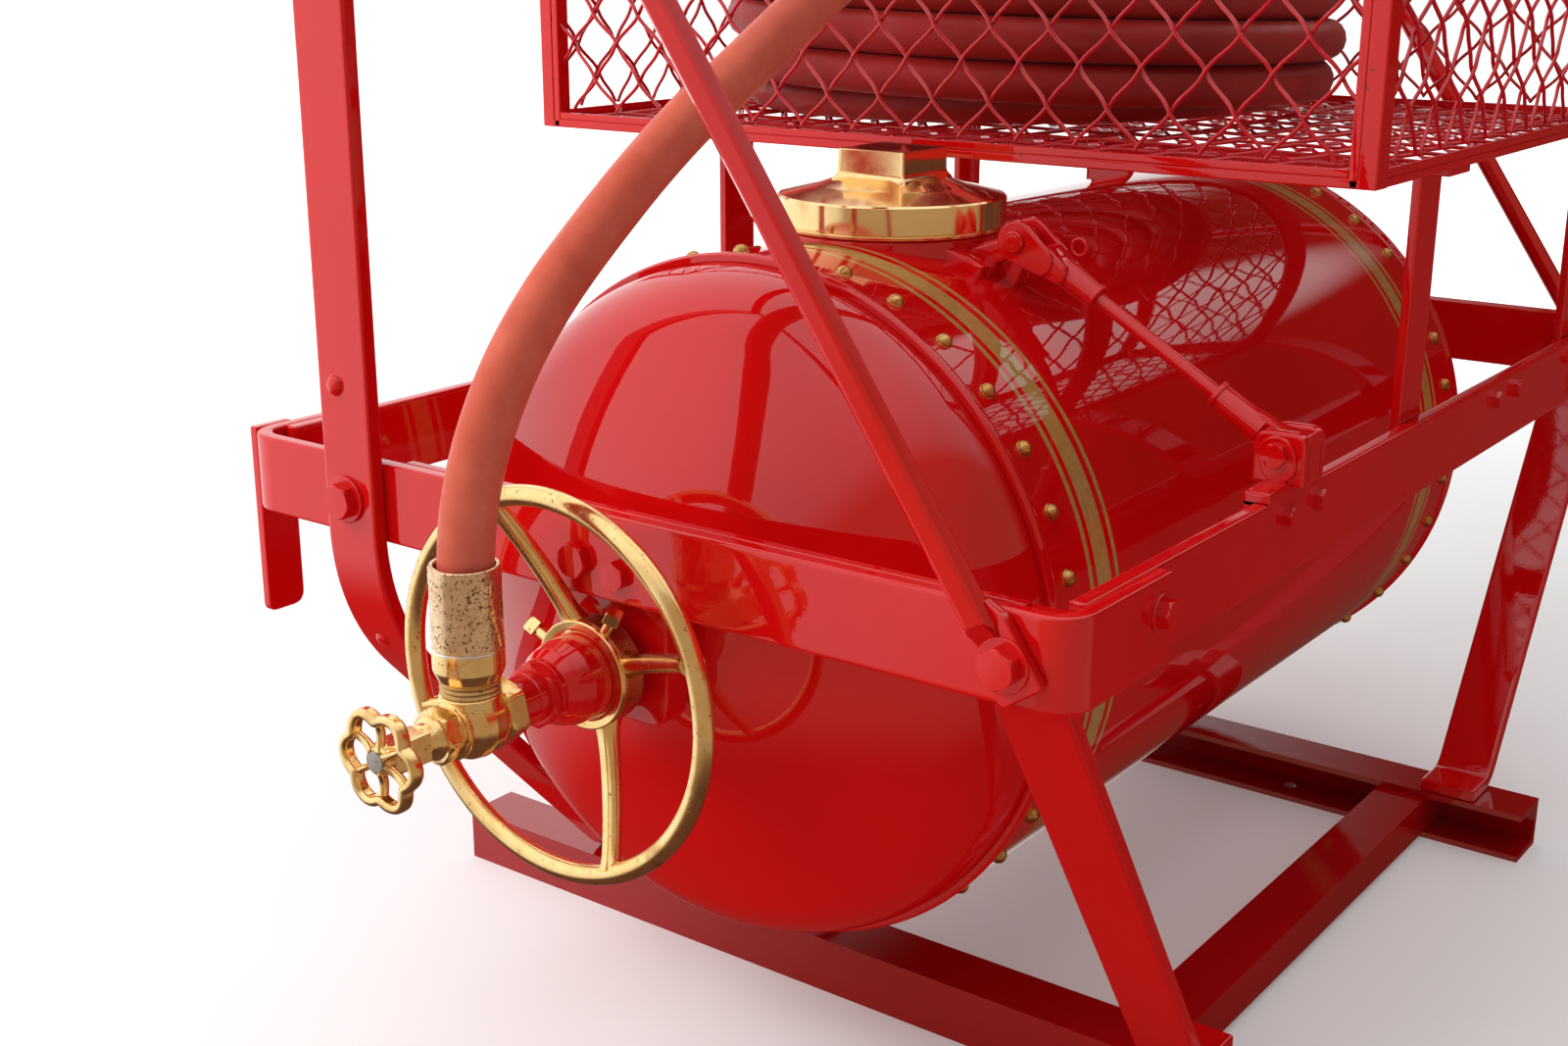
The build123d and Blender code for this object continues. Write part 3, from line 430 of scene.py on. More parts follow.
# %% Bars and plates
def sweep(path, section, side, size=None, closed=False, edge=0.0):
    """Skin of a section carried along a path, its first axis along side, with its ends bevelled by edge."""
    path = np.asarray(path, float)
    size = np.ones(len(path)) if size is None else np.asarray(size, float)
    scale = np.repeat(size[:, None], 2, 1)
    if edge and not closed:
        first, last = unit(path[1] - path[0]) * edge, unit(path[-1] - path[-2]) * edge
        path = np.concatenate([path[:1], path[:1] + first, path[1:-1], path[-1:] - last, path[-1:]])
        inner = 1 - edge / np.abs(section).max(0)
        scale = np.concatenate([scale[:1] * inner, scale[:1], scale[1:-1], scale[-1:], scale[-1:] * inner])
    ahead = np.roll(path, -1, 0) - np.roll(path, 1, 0) if closed else np.gradient(path, axis=0)
    along = unit(ahead)
    side = np.broadcast_to(np.asarray(side, float), path.shape)
    p = unit(side - (side * along).sum(-1, keepdims=True) * along)
    q = np.cross(along, p)
    spread = section[None] * scale[:, None]
    return skin(path[:, None] + spread[..., :1] * p[:, None] + spread[..., 1:] * q[:, None], closed)


def prism(outline, origin, x_dir, y_dir, along, edge=0.001):
    """Outline of (x, y) points in a plane, thickened along a vector, with its rims rounded by edge."""
    outline = np.asarray(outline, float)
    after = np.roll(outline, -1, 0)
    ahead = unit(after - np.roll(outline, 1, 0))
    area = (outline[:, 0] * after[:, 1] - after[:, 0] * outline[:, 1]).sum()
    outward = np.stack([ahead[:, 1], -ahead[:, 0]], -1) * np.sign(area)
    depth = np.linalg.norm(along)
    steps = np.array([(0, 1), (0.3, 0.3), (1, 0)]) * edge
    layers = [(h, i) for h, i in steps] + [(depth - h, i) for h, i in steps[::-1]]
    plane = np.stack([x_dir, y_dir]).astype(float)
    origin, z_dir = np.asarray(origin, float), unit(along)
    return skin(np.stack([origin + h * z_dir + (outline - i * outward) @ plane for h, i in layers]))


def slab(outline, y, thick, edge=0.001):
    """Plate with an outline of (x, z) points, from y on and thick in the Y direction."""
    return prism(outline, (0, y, 0), X, Z, (0, thick, 0), edge)


def block(a, b, edge=0.0015):
    """Box with rounded edges between two corners, given in any order."""
    low, high = np.minimum(a, b), np.maximum(a, b)
    size, middle = high - low, (low + high) / 2
    outline = round_rectangle(size[0], size[1], edge)
    return prism(outline, (middle[0], middle[1], low[2]), X, Y, size * Z, edge)


print("bars and plates ready")

# %% [markdown]
# ## From a shape to a piece
#
# A piece gets smooth faces with sharp creases kept, normals weighted by face size, and a number on each point
# that tells how sharply the surface curves there. Real paint wears off along edges first, and a painted mask
# could show that. The number does it without an image, because a material can read it.

# %% Piece
pieces = {}


def read(rows, field, width, kind=float):
    """One field of a mesh's rows as an array."""
    values = np.empty(len(rows) * width, kind)
    rows.foreach_get(field, values)
    return values.reshape(-1, width)


def mark_edges(mesh):
    """Stores how convex the surface is at each point: the turn of the normals along the edges, per metre."""
    points = read(mesh.vertices, "co", 3)
    normals = read(mesh.vertex_normals, "vector", 3)
    ends = read(mesh.edges, "vertices", 2, int)
    step = points[ends[:, 1]] - points[ends[:, 0]]
    bend = ((normals[ends[:, 1]] - normals[ends[:, 0]]) * step).sum(1)
    bend /= np.maximum((step**2).sum(1), 1e-10)
    total = np.bincount(ends.ravel(), np.repeat(bend, 2), len(points))
    count = np.bincount(ends.ravel(), minlength=len(points))
    value = np.clip(total / np.maximum(count, 1) * 0.0015, 0, 1)
    mesh.attributes.new("edge", "FLOAT", "POINT").data.foreach_set("value", value.astype(np.float32))


def piece(name, shape, material, replaces="", body="frame", sharp=42):
    """Object made of a shape, riding on a body and standing for the CAD nodes it replaces."""
    points, quads, ends = shape
    mesh = bpy.data.meshes.new(name)
    corners = np.concatenate([quads.ravel(), *ends])
    counts = [4] * len(quads) + [len(end) for end in ends]
    mesh.vertices.add(len(points))
    mesh.vertices.foreach_set("co", np.ascontiguousarray(points, np.float32).ravel())
    mesh.loops.add(len(corners))
    mesh.loops.foreach_set("vertex_index", corners.astype(np.int32))
    mesh.polygons.add(len(counts))
    mesh.polygons.foreach_set("loop_start", np.cumsum([0] + counts[:-1]).astype(np.int32))
    mesh.update(calc_edges=True)
    bm = bmesh.new()
    bm.from_mesh(mesh)
    bmesh.ops.remove_doubles(bm, verts=bm.verts, dist=2e-6)
    bmesh.ops.recalc_face_normals(bm, faces=bm.faces)
    bm.to_mesh(mesh)
    bm.free()
    mesh.shade_smooth()
    mesh.set_sharp_from_angle(angle=math.radians(sharp))
    mark_edges(mesh)
    mesh.materials.append(material)
    made = bpy.data.objects.new(name, mesh)
    bpy.context.scene.collection.objects.link(made)
    made.modifiers.new("weighted", "WEIGHTED_NORMAL").keep_sharp = True
    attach(made, body)
    if replaces:
        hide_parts(replaces)
    pieces[name] = made
    print(f"{name}: {len(mesh.polygons)} faces on {body}")
    return made


# %% [markdown]
# ## Materials
#
# Red enamel is a coloured base under a clear coat, with a faint orange peel and small chips where edges are
# sharp. Only the coat mirrors: the base has no gloss of its own, which keeps the red deep. The tank's enamel
# carries its gold bands by distance along the tank. Brass is a metal with tarnish, fine scratches and dents.
# Photographs could give such patterns, but noise laid out in the object's own coordinates is sharp from any
# distance and goes round corners without a seam.

# %% Material tools
def coordinates(tree, stretch=(1, 1, 1)):
    """The object's coordinates, stretched along its axes."""
    place = add(tree, "TexCoord").outputs["Object"]
    return add(tree, "Mapping", {"Vector": place, "Scale": stretch}).outputs[0]


def noise(tree, place, scale, detail=2.0, rough=0.5):
    """Noise with features of about one over scale metres."""
    inputs = {"Vector": place, "Scale": scale, "Detail": detail, "Roughness": rough}
    return add(tree, "TexNoise", inputs).outputs["Fac"]


def blend(tree, factor, a, b):
    """Mix of two colours."""
    return add(tree, "Mix", {"Factor": factor, 6: a, 7: b}, data_type="RGBA").outputs[2]


def bump(tree, height, strength, distance, normal=None):
    """Bump of a height in metres' worth of distance."""
    inputs = {"Height": height, "Strength": strength, "Distance": distance}
    if normal is not None:
        inputs["Normal"] = normal
    return add(tree, "Bump", inputs).outputs[0]


def material(name, **constants):
    """New material, its node tree and its shader's inputs, some of them set."""
    made = bpy.data.materials.new(name)
    made.use_nodes = True
    inputs = made.node_tree.nodes["Principled BSDF"].inputs
    for key, value in constants.items():
        inputs[key.replace("_", " ")].default_value = value
    return made, made.node_tree, inputs


def edge_wear(tree, place, low=0.55, high=0.9):
    """Share of bare patches: noise that only counts where the surface's edge number is high."""
    edge = add(tree, "Attribute", attribute_name="edge").outputs["Fac"]
    spots = band(tree, noise(tree, place, 90, 4, 0.65), 0.64, 0.70)
    return maths(tree, "MULTIPLY", spots, band(tree, edge, low, high))


print("material tools ready")


# %% Enamel
def gold_lines(tree, place, lines):
    """Share of gold: lines are (distance from the tank's middle, half width) of bands round the tank."""
    across = maths(tree, "ABSOLUTE", add(tree, "SeparateXYZ", {0: place}).outputs["Y"])
    wander = maths(tree, "MULTIPLY_ADD", noise(tree, place, 60, 2), 0.0006, -0.0003)
    across = maths(tree, "ADD", across, wander)
    gold = 0.0
    for centre, half in lines:
        off = maths(tree, "ABSOLUTE", maths(tree, "SUBTRACT", across, centre))
        line = band(tree, off, half - 0.0003, half + 0.0003, 1.0, 0.0)
        gold = maths(tree, "MAXIMUM", gold, line)
    return gold


def enamel(name, colour, dark, lines=(), peel=0.05):
    """Glossy paint on a base between two tones, with gold lines where a piece has them."""
    coat = dict(Coat_Weight=1.0, Coat_Roughness=0.02, Coat_IOR=1.56, Specular_IOR_Level=0.0)
    made, tree, inputs = material(name, **coat)
    place = coordinates(tree)
    base = ramp(tree, noise(tree, place, 3.5, 3), (0.35, dark), (0.65, colour))
    grain = noise(tree, place, 420, 1)
    rough = band(tree, noise(tree, place, 14, 5, 0.6), 0.3, 0.8, 0.16, 0.34)
    if lines:
        tones = (0.3, (0.38, 0.19, 0.050)), (0.7, (0.49, 0.27, 0.085))
        leaf = ramp(tree, noise(tree, place, 160, 4, 0.7), *tones)
        base = blend(tree, gold_lines(tree, place, lines), base, leaf)
    wear = edge_wear(tree, place)
    put(tree, inputs["Base Color"], blend(tree, wear, base, (0.06, 0.012, 0.01, 1)))
    put(tree, inputs["Roughness"], maths(tree, "ADD", rough, maths(tree, "MULTIPLY", wear, 0.3)))
    height = maths(tree, "SUBTRACT", grain, maths(tree, "MULTIPLY", wear, 3.0))
    ripple = bump(tree, noise(tree, place, 22, 2), peel, 0.0012)
    put(tree, inputs["Normal"], bump(tree, height, peel, 0.0006, ripple))
    put(tree, inputs["Coat Normal"], bump(tree, height, peel * 0.8, 0.0004, ripple))
    return made


LINES = ((0.3393, 0.01025), (0.3580, 0.0026), (0.3195, 0.0024))
red = enamel("red_enamel", (0.66, 0.003, 0.004), (0.60, 0.002, 0.003))
tank_red = enamel("tank_enamel", (0.64, 0.003, 0.004), (0.60, 0.002, 0.003), lines=LINES, peel=0.02)
# The sills under the tank take a darker copy of the red enamel: painted shade.
shaded_red = enamel("deep_red_enamel", (0.42, 0.003, 0.005), (0.34, 0.002, 0.004), peel=0.12)
wire_red = enamel("wire_enamel", (0.58, 0.006, 0.014), (0.50, 0.004, 0.010), peel=0.10)
print("enamels", red.name, tank_red.name, shaded_red.name, wire_red.name)


# %% Brass and steel
def metal(name, tones, rough=(0.12, 0.3), dents=0.15, spots=0.62, scale=40.0, bare=1.0):
    """Bare metal: bright and dull tone, tarnish in patches and specks, fine scratches and shallow dents."""
    made, tree, inputs = material(name, Metallic=bare)
    bright, dull, tarnish = tones
    place = coordinates(tree)
    tone = ramp(tree, noise(tree, place, scale, 5, 0.6), (0.32, dull), (0.6, bright))
    specks = band(tree, noise(tree, place, scale * 6, 4, 0.7), spots, spots + 0.06)
    patches = band(tree, noise(tree, place, scale * 0.7, 3, 0.6), 0.60, 0.72, 0.0, 0.55)
    dark = maths(tree, "MAXIMUM", specks, patches)
    put(tree, inputs["Base Color"], blend(tree, dark, tone, (*tarnish, 1)))
    shine = band(tree, noise(tree, place, scale * 1.5, 4, 0.6), 0.35, 0.7, *rough)
    put(tree, inputs["Roughness"], maths(tree, "MULTIPLY_ADD", dark, 0.22, shine))
    scratches = noise(tree, coordinates(tree, (30, 220, 90)), 8, 3, 0.7)
    shallow = bump(tree, noise(tree, place, scale * 1.3, 3), dents, 0.0012)
    fine = bump(tree, scratches, 0.05, 0.0003, shallow)
    put(tree, inputs["Normal"], bump(tree, maths(tree, "MULTIPLY", specks, -1.0), 0.3, 0.0006, fine))
    return made


TONES = {
    "polished_brass": ((0.96, 0.69, 0.32), (0.89, 0.58, 0.22), (0.48, 0.22, 0.07)),
    "wheel_brass": ((0.96, 0.69, 0.32), (0.88, 0.57, 0.21), (0.45, 0.20, 0.06)),
    "cap_brass": ((0.96, 0.69, 0.35), (0.90, 0.60, 0.27), (0.55, 0.28, 0.10)),
    "pitted_brass": ((0.90, 0.66, 0.42), (0.76, 0.48, 0.28), (0.26, 0.13, 0.06)),
    "dull_brass": ((0.64, 0.42, 0.18), (0.48, 0.29, 0.11), (0.18, 0.10, 0.04)),
    "grey_steel": ((0.46, 0.42, 0.36), (0.32, 0.29, 0.24), (0.14, 0.11, 0.08)),
    "bright_ferrule": ((0.90, 0.90, 0.90), (0.75, 0.75, 0.74), (0.3, 0.3, 0.3)),
    "gold_rivet": ((0.60, 0.40, 0.13), (0.56, 0.22, 0.06), (0.46, 0.010, 0.008)),
}
FINISH = {
    "polished_brass": dict(rough=(0.11, 0.22), dents=0.08),
    "wheel_brass": dict(rough=(0.13, 0.25), dents=0.07),
    "cap_brass": dict(rough=(0.07, 0.17), dents=0.05, spots=0.72, scale=18.0),
    "pitted_brass": dict(rough=(0.12, 0.24), dents=0.16, spots=0.55, scale=60.0, bare=0.97),
    "dull_brass": dict(rough=(0.32, 0.5), spots=0.60),
    "grey_steel": dict(rough=(0.28, 0.45)),
    "bright_ferrule": dict(rough=(0.1, 0.2)),
    "gold_rivet": dict(rough=(0.3, 0.45), spots=0.56, scale=110.0),
}
metals = {name: metal(name, tones, **FINISH[name]) for name, tones in TONES.items()}
brass = metals["polished_brass"]
dull_brass = metals["dull_brass"]
print("metals", list(metals))


# %% Hose rubber
def rubber(name):
    """Moulded hose rubber: salmon outside the basket, and dark red inside it, where the darkness is painted
    shade.
    """
    made, tree, inputs = material(name, Specular_IOR_Level=0.30, Sheen_Weight=0.05, Sheen_Roughness=0.4)
    place = coordinates(tree)
    split = add(tree, "SeparateXYZ", {0: place})
    height = maths(tree, "MULTIPLY_ADD", noise(tree, place, 9, 2), 0.02, split.outputs["Z"])
    # The coil inside the basket gets darker tones than the run: painted shade.
    low = band(tree, height, 0.892, 0.925, 1.0, 0.0)
    inside = maths(tree, "MULTIPLY", low, band(tree, split.outputs["Y"], -0.20, -0.12))
    outer_tones = (0.32, (0.55, 0.080, 0.042)), (0.66, (0.65, 0.118, 0.066))
    shaded_stops = (0.30, (0.24, 0.009, 0.008)), (0.70, (0.38, 0.018, 0.016))
    open_tone = ramp(tree, noise(tree, place, 26, 5, 0.65), *outer_tones)
    shaded_tone = ramp(tree, noise(tree, place, 12, 4, 0.6), *shaded_stops)
    rubbed = noise(tree, coordinates(tree, (1, 1, 0.4)), 170, 4, 0.75)
    scuffs = band(tree, rubbed, 0.62, 0.72, 0.0, 0.20)
    scuffs = maths(tree, "MULTIPLY", scuffs, maths(tree, "MULTIPLY_ADD", inside, -0.7, 1.0))
    tone = blend(tree, inside, open_tone, shaded_tone)
    put(tree, inputs["Base Color"], blend(tree, scuffs, tone, (0.60, 0.22, 0.17, 1)))
    put(tree, inputs["Roughness"], band(tree, noise(tree, place, 35, 4), 0.3, 0.7, 0.36, 0.55))
    rough_skin = bump(tree, noise(tree, place, 900, 2), 0.12, 0.0002)
    put(tree, inputs["Normal"], bump(tree, noise(tree, place, 60, 3), 0.12, 0.0008, rough_skin))
    return made


hose_rubber = rubber("hose_rubber")
print("materials", len(bpy.data.materials))

# %% [markdown]
# ## Hose
#
# One cord. It leaves the coupling upwards, arches over the tank into the basket, lies round the outer turns
# from the top down, steps in at the bottom and comes up the inner turns to the nozzle. A turn is an oval of
# two half circles about the coil's two middles; a control point every thirty degrees gives 14 points a turn.
# The run's points are listed, because only the photograph tells how the hose hangs. The coil's come
# from a loop, whose radius is a little larger than the turn's, because the curve passes inside its points.

# %% Hose route
COIL_START = COIL_TOP + 0.001
NOZZLE_Z = COIL_TOP + 0.023
NOZZLE = (-0.165, NEAR + 0.576, NOZZLE_Z)
ROUTE = [
    (0, VALVE_Y, AXIS_Z + 0.066),
    (0, VALVE_Y, AXIS_Z + 0.122),
    (0.002, NEAR - 0.111, AXIS_Z + 0.176),
    (0.004, NEAR - 0.086, AXIS_Z + 0.226),
    (0.005, NEAR - 0.050, AXIS_Z + 0.269),
    (0.005, NEAR - 0.004, AXIS_Z + 0.307),
    (0.016, NEAR + 0.070, AXIS_Z + 0.370),
    (0.032, NEAR + 0.150, AXIS_Z + 0.424),
    (0.043, NEAR + 0.235, AXIS_Z + 0.478),
    (0.052, NEAR + 0.318, AXIS_Z + 0.522),
    (0.061, NEAR + 0.390, AXIS_Z + 0.544),
    (0.076, NEAR + 0.465, AXIS_Z + 0.546),
    (0.098, NEAR + 0.545, AXIS_Z + 0.530),
    (0.124, COIL_Y - 0.143, NOZZLE_Z),
    (0.149, COIL_Y - 0.063, COIL_TOP + 0.008),
    (0.166, COIL_Y + 0.012, COIL_START),
]
ROUTE_END = [(-0.165, NEAR + 0.5765, NOZZLE_Z), (-0.143, NEAR + 0.576, NOZZLE_Z)]
TURN_POINTS = 14
OUTER_R, INNER_R = 0.2365, 0.1975
BOTTOM = BZ0 + 0.0102 + HOSE_R
LAST_OUTER = 49
STEP_IN = 3
FIRST_INNER = LAST_OUTER + STEP_IN
LAST_INNER = FIRST_INNER + 4 * TURN_POINTS - 1


def turn_place(k, radius):
    """Point k of a turn that starts at the front end and goes towards the far side; k wraps after 14."""
    k = k % TURN_POINTS
    if k <= 3:
        angle, middle = k * 30, COIL_X[1]
    elif k <= 10:
        angle, middle = (k - 1) * 30, COIL_X[0]
    else:
        angle, middle = (k - 2) * 30, COIL_X[1]
    a = math.radians(angle)
    return middle + radius * math.cos(a), COIL_Y + radius * math.sin(a)


coil = []
for k in range(1, LAST_OUTER + 1):
    sway = 0.0045 * (1 + math.cos(math.pi * k / TURN_POINTS))
    drop = (COIL_START - BOTTOM) * k / LAST_OUTER
    coil.append((*turn_place(k, OUTER_R + sway), COIL_START - drop))
for k in range(LAST_OUTER + 1, LAST_INNER + 1):
    inwards = min((k - LAST_OUTER) / STEP_IN, 1.0)
    rise = max(k - FIRST_INNER, 0) / (LAST_INNER - FIRST_INNER)
    radius = OUTER_R + (INNER_R - OUTER_R) * inwards
    coil.append((*turn_place(k, radius), BOTTOM + (NOZZLE_Z - BOTTOM) * rise))
print("hose control points", len(ROUTE + coil + ROUTE_END))


# %% Hose
def hose_curve(name, points, radius):
    """Smooth spline through the influence of its control points, with a round section."""
    data = bpy.data.curves.new(name, "CURVE")
    data.dimensions = "3D"
    spline = data.splines.new("NURBS")
    spline.points.add(len(points) - 1)
    weighted = np.concatenate([np.asarray(points), np.ones((len(points), 1))], 1)
    spline.points.foreach_set("co", weighted.ravel())
    spline.order_u = 3
    spline.use_endpoint_u = True
    spline.use_smooth = True
    data.resolution_u = 10
    data.bevel_depth = radius
    data.bevel_resolution = 6
    data.use_fill_caps = True
    made = bpy.data.objects.new(name, data)
    bpy.context.scene.collection.objects.link(made)
    return made


hose = hose_curve("hose", ROUTE + coil + ROUTE_END, HOSE_R)
hose.data.materials.append(hose_rubber)
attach(hose, "frame")
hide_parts("hose_run", "hose_coil")
collar = [(0, 0), (0.0215, 0), (0.023, 0.003), (0.023, 0.016), (0.0205, 0.018), (0.0205, 0.026)]
cone = [(0.023, 0.028), (0.023, 0.043), (0.017, 0.047), (0.0165, 0.060), (0.0095, 0.226)]
tip = [(0.0115, 0.228), (0.0115, 0.239), (0.006, 0.240), (0, 0.240)]
shape = turned(rounded(collar + cone + tip, 0.0012), NOZZLE, X, 64)
nozzle = piece("nozzle", shape, brass, "hose_nozzle")

# %% [markdown]
# ## Base and frame
#
# On the real unit these are flat bars of steel, bent and bolted. A sharp box would look cut from card,
# so each bar is a round-edged section carried along a line that bends where the bar does.

# %% Rails
RAIL_SECTION = round_rectangle(RAIL_H, RAIL_T, 0.0026)
RAIL_Z = (RAIL_TOP + RAIL_BOTTOM) / 2
PLATE_T = 0.008


def rail(stations):
    """Rail along (x, y, bend radius) stations."""
    bent = smooth_path(stations, steps=10)
    return sweep(np.column_stack([bent, np.full(len(bent), RAIL_Z)]), RAIL_SECTION, Z, edge=0.0015)


x, y, end = SIDE_X - RAIL_T / 2, NEAR + RAIL_T / 2, NEAR + 0.127
side_rail = rail([(-x, end, 0), (-x, y, 0.0285), (x, y, 0.0203), (x, end, 0)])
piece("side_rails_dressed", far_too(side_rail), red, "side_rails")
x, reach = CROSS_X - RAIL_T / 2, 0.5653
cross_rails = [rail([(s * x, -reach, 0), (s * x, reach, 0)]) for s in (-1, 1)]
piece("cross_rails_dressed", merge(*cross_rails), red, "cross_rails")
stiffener = block((-0.205, NEAR + RAIL_T, RAIL_BOTTOM), (0.344, BACK, RAIL_TOP))
piece("stiffeners_dressed", far_too(stiffener), red, "rail_stiffeners")
y0, y1, foot = NEAR + 0.015, NEAR + 0.052, RAIL_TOP - 0.161
corners = [(y0, RAIL_TOP, 0.002), (y0, foot, 0.008), (y1, foot, 0.012), (y1, RAIL_TOP, 0.002)]
outline = smooth_path(corners, True, 6)
corner_plate = prism(outline, (-SIDE_X - PLATE_T, 0, 0), Y, Z, PLATE_T * X, 0.0012)
piece("corner_plates_dressed", far_too(corner_plate), red, "corner_plates")

# %% Posts and legs
STRAP_SECTION = round_rectangle(0.054, 0.0127, 0.0022)
HALF_T = 0.00635
FOOT = (SILL_Y + 0.053, SILL_H + HALF_T, 0)


def strap(x, stations):
    """Flat strap through (y, z, bend radius) stations."""
    bent = smooth_path(stations, steps=14)
    return sweep(np.column_stack([np.full(len(bent), x), bent]), STRAP_SECTION, X, edge=0.0015)


y, turn_in = NEAR - HALF_T, (SILL_Y + 0.020, FOOT[1], 0.03)
post = strap(-0.242, [(y, AXIS_Z + 0.95, 0), (y, AXIS_Z - 0.012, 0.19), turn_in, FOOT])
piece("posts_dressed", far_too(post), red, "posts")
y, turn_in = BACK + HALF_T, (SILL_Y + 0.002, FOOT[1], 0.03)
leg = strap(0.344, [(y, RAIL_TOP - 0.006, 0), (y, RAIL_BOTTOM - HALF_T, 0.03), turn_in, FOOT])
piece("legs_dressed", far_too(leg), red, "front_legs")

# %% [markdown]
# ## Braces
#
# A brace is a bar whose lower end was hammered flat for its bolt. The bar's front is cut back there along a
# hollow arc, so the two forms meet as they do in forged iron. The solid brace has eight sides. Here the eight
# corners are listed in a crossing order, a mistake that was found too late to mend: the outline crosses
# itself and lies up to 3 mm inside the solid's. Listed in order round the bar, they would give the octagon.

# %% Braces and tie
BRACE_D, BRACE_T, NECK_AT, HOLLOW_R = 0.020, 0.009, 0.013, 0.017
BRACE_FOOT = np.array((0.342, AXIS_Z + 0.084))
BRACE_TOP_X = -0.215
brace_run = unit(np.array((BRACE_TOP_X - 0.342, 0.897 - 0.084)))
across = np.array((-brace_run[1], brace_run[0]))


def on_brace(t, side=0.0):
    """Point (x, z) on the brace, t up from its bolt and side across it."""
    return BRACE_FOOT + brace_run * t + across * side


corners = [(-0.024, -0.017, 0.004), (-0.024, 0.017, 0.006), (0.026, 0.017, 0.014), (0.040, 0.010, 0),
           (0.040, -0.010, 0), (0.026, -0.017, 0.014)]
outline = smooth_path([(*on_brace(t, side), bend) for t, side, bend in corners], True, 6)
flat_foot = slab(outline, NEAR - BRACE_T, BRACE_T, 0.0018)
half = BRACE_D / 2
chamfer = half * math.tan(math.pi / 8)
section = [(half, chamfer), (chamfer, half), (-half, chamfer), (-chamfer, half), (-half, -chamfer),
           (-chamfer, -half), (half, -chamfer), (chamfer, -half)]
section = rounded(section, 0.0022, True, 4)
top = (BRACE_FOOT[0] - BRACE_TOP_X) / -brace_run[0]
neck = NECK_AT + HOLLOW_R * np.linspace(0, 1, 14) ** 1.5
steps = np.concatenate([neck, np.linspace(0.04, top - 0.001, 30)])
hollow = np.sqrt(np.clip(HOLLOW_R**2 - (steps - NECK_AT) ** 2, 0, None))
limit = np.where(steps < NECK_AT + HOLLOW_R, BRACE_T + HOLLOW_R - hollow, 1.0)
depth = np.minimum(section[None, :, 1] + half, limit[:, None])
run = on_brace(0)[None, None] + brace_run * steps[:, None, None] + across * section[None, :, :1]
brace = skin(np.stack([run[..., 0], NEAR - depth, run[..., 1]], -1))
piece("braces_dressed", far_too(flat_foot, brace), red, "diagonal_braces", sharp=30)
tie_z = AXIS_Z + 0.91
tie = block((-0.261, -0.6, tie_z - 0.01), (-0.223, 0.6, tie_z + 0.01), 0.002)
piece("post_tie_dressed", tie, red, "post_tie")

# %% Bearings and base
BEARING_T = 0.024
saddle = block((-0.048, BACK, AXIS_Z), (0.048, BACK + BEARING_T, RAIL_TOP - 0.018), 0.002)
low = AXIS_Z - 0.044
corners = [(-0.048, AXIS_Z, 0), (-0.048, low, 0.024), (0.048, low, 0.024), (0.048, AXIS_Z, 0)]
outline = smooth_path(corners, True, 8)
piece("saddles_dressed", far_too(saddle), red, "bearing_saddles")
piece("bearing_caps_dressed", far_too(slab(outline, BACK, BEARING_T, 0.002)), red, "bearing_caps")
# The sills and ties low under the tank get the darker red: painted shade.
for name in ("base_sills", "base_ties"):
    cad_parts[name].data.materials.clear()
    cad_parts[name].data.materials.append(shaded_red)

# %% [markdown]
# ## Tank
#
# The real shell is a rolled plate, riveted over two dished heads. The shell is turned about the tank's axis,
# with a rolled bead at each end. A head is a crown arc and a knuckle arc that meet tangentially, as pressed
# heads do: one ball would be too deep and a flat disc would mirror the room as a single patch.

# %% Shell and heads
shell_in = TANK_R - 0.004
lip = TANK_R + 0.003
bead = [(0, 0.012, 0), (shell_in - 0.0015, 0.012, 0), (shell_in, 0, 0.0008), (TANK_R + 0.0012, 0, 0.0015),
        (lip, 0.003, 0.003), (lip, 0.006, 0.003), (TANK_R, 0.0105, 0.006), (TANK_R, 0.02, 0)]
bead = smooth_path(bead, steps=5) - (0, SEAM)
middle = [(TANK_R, y) for y in np.linspace(-SEAM + 0.03, SEAM - 0.03, 24)]
shell = turned(np.concatenate([bead, middle, bead[::-1] * (1, -1)]), segments=240, **TANK_AXIS)
piece("shell_dressed", shell, tank_red, "tank_shell", "tank")
DEPTH, KNUCKLE = 0.125, 0.080
knuckle_r = shell_in - KNUCKLE
CROWN = (knuckle_r**2 + DEPTH**2 - KNUCKLE**2) / (2 * (DEPTH - KNUCKLE))
crown_y = -SEAM - DEPTH + CROWN
join = math.atan2(-SEAM - crown_y, knuckle_r)


def arc(radius, start, end, count):
    """Points of an arc about (0, 0) between two angles."""
    turn = np.linspace(start, end, count)
    return radius * np.stack([np.cos(turn), np.sin(turn)], -1)


crown = (0, crown_y) + arc(CROWN, -math.pi / 2, join, 40)
knuckle = (knuckle_r, -SEAM) + arc(KNUCKLE, join, 0, 24)[1:]
rear = (0, -SEAM) + np.array([(shell_in - 0.0005, 0.006), (0, 0.006)])
head = turned(np.concatenate([crown, knuckle, rear]), segments=200, **TANK_AXIS)
piece("head_near_dressed", head, tank_red, "head_near", "tank", 60)
piece("head_far_dressed", mirrored(head), tank_red, "head_far", "tank", 60)

# %% Rivets along the seams
RIVETS = 35
ring_middle = np.array((0, NEAR + 0.2097, AXIS_Z))
rivets = []
for k in range(RIVETS):
    out = way(75.7 + 360 / RIVETS * k)
    rivets.append(dome(ring_middle + out * (TANK_R - 0.0003), out, 0.0062, 0.0062, 28))
piece("rivets", far_too(*rivets), metals["gold_rivet"], body="tank", sharp=50)

# %% Trunnions
ROOT = crown_y - math.sqrt(CROWN**2 - 0.036**2)


def trunnion(*tail):
    """Flange on a head and the stub that runs out of it, with the stations of its tail."""
    flange = [(0, ROOT + 0.012, 0), (0.037, ROOT + 0.012, 0), (0.037, ROOT - 0.004, 0.003),
              (0.0245, ROOT - 0.010, 0.006)]
    return lathed(flange + list(tail), **TANK_AXIS)


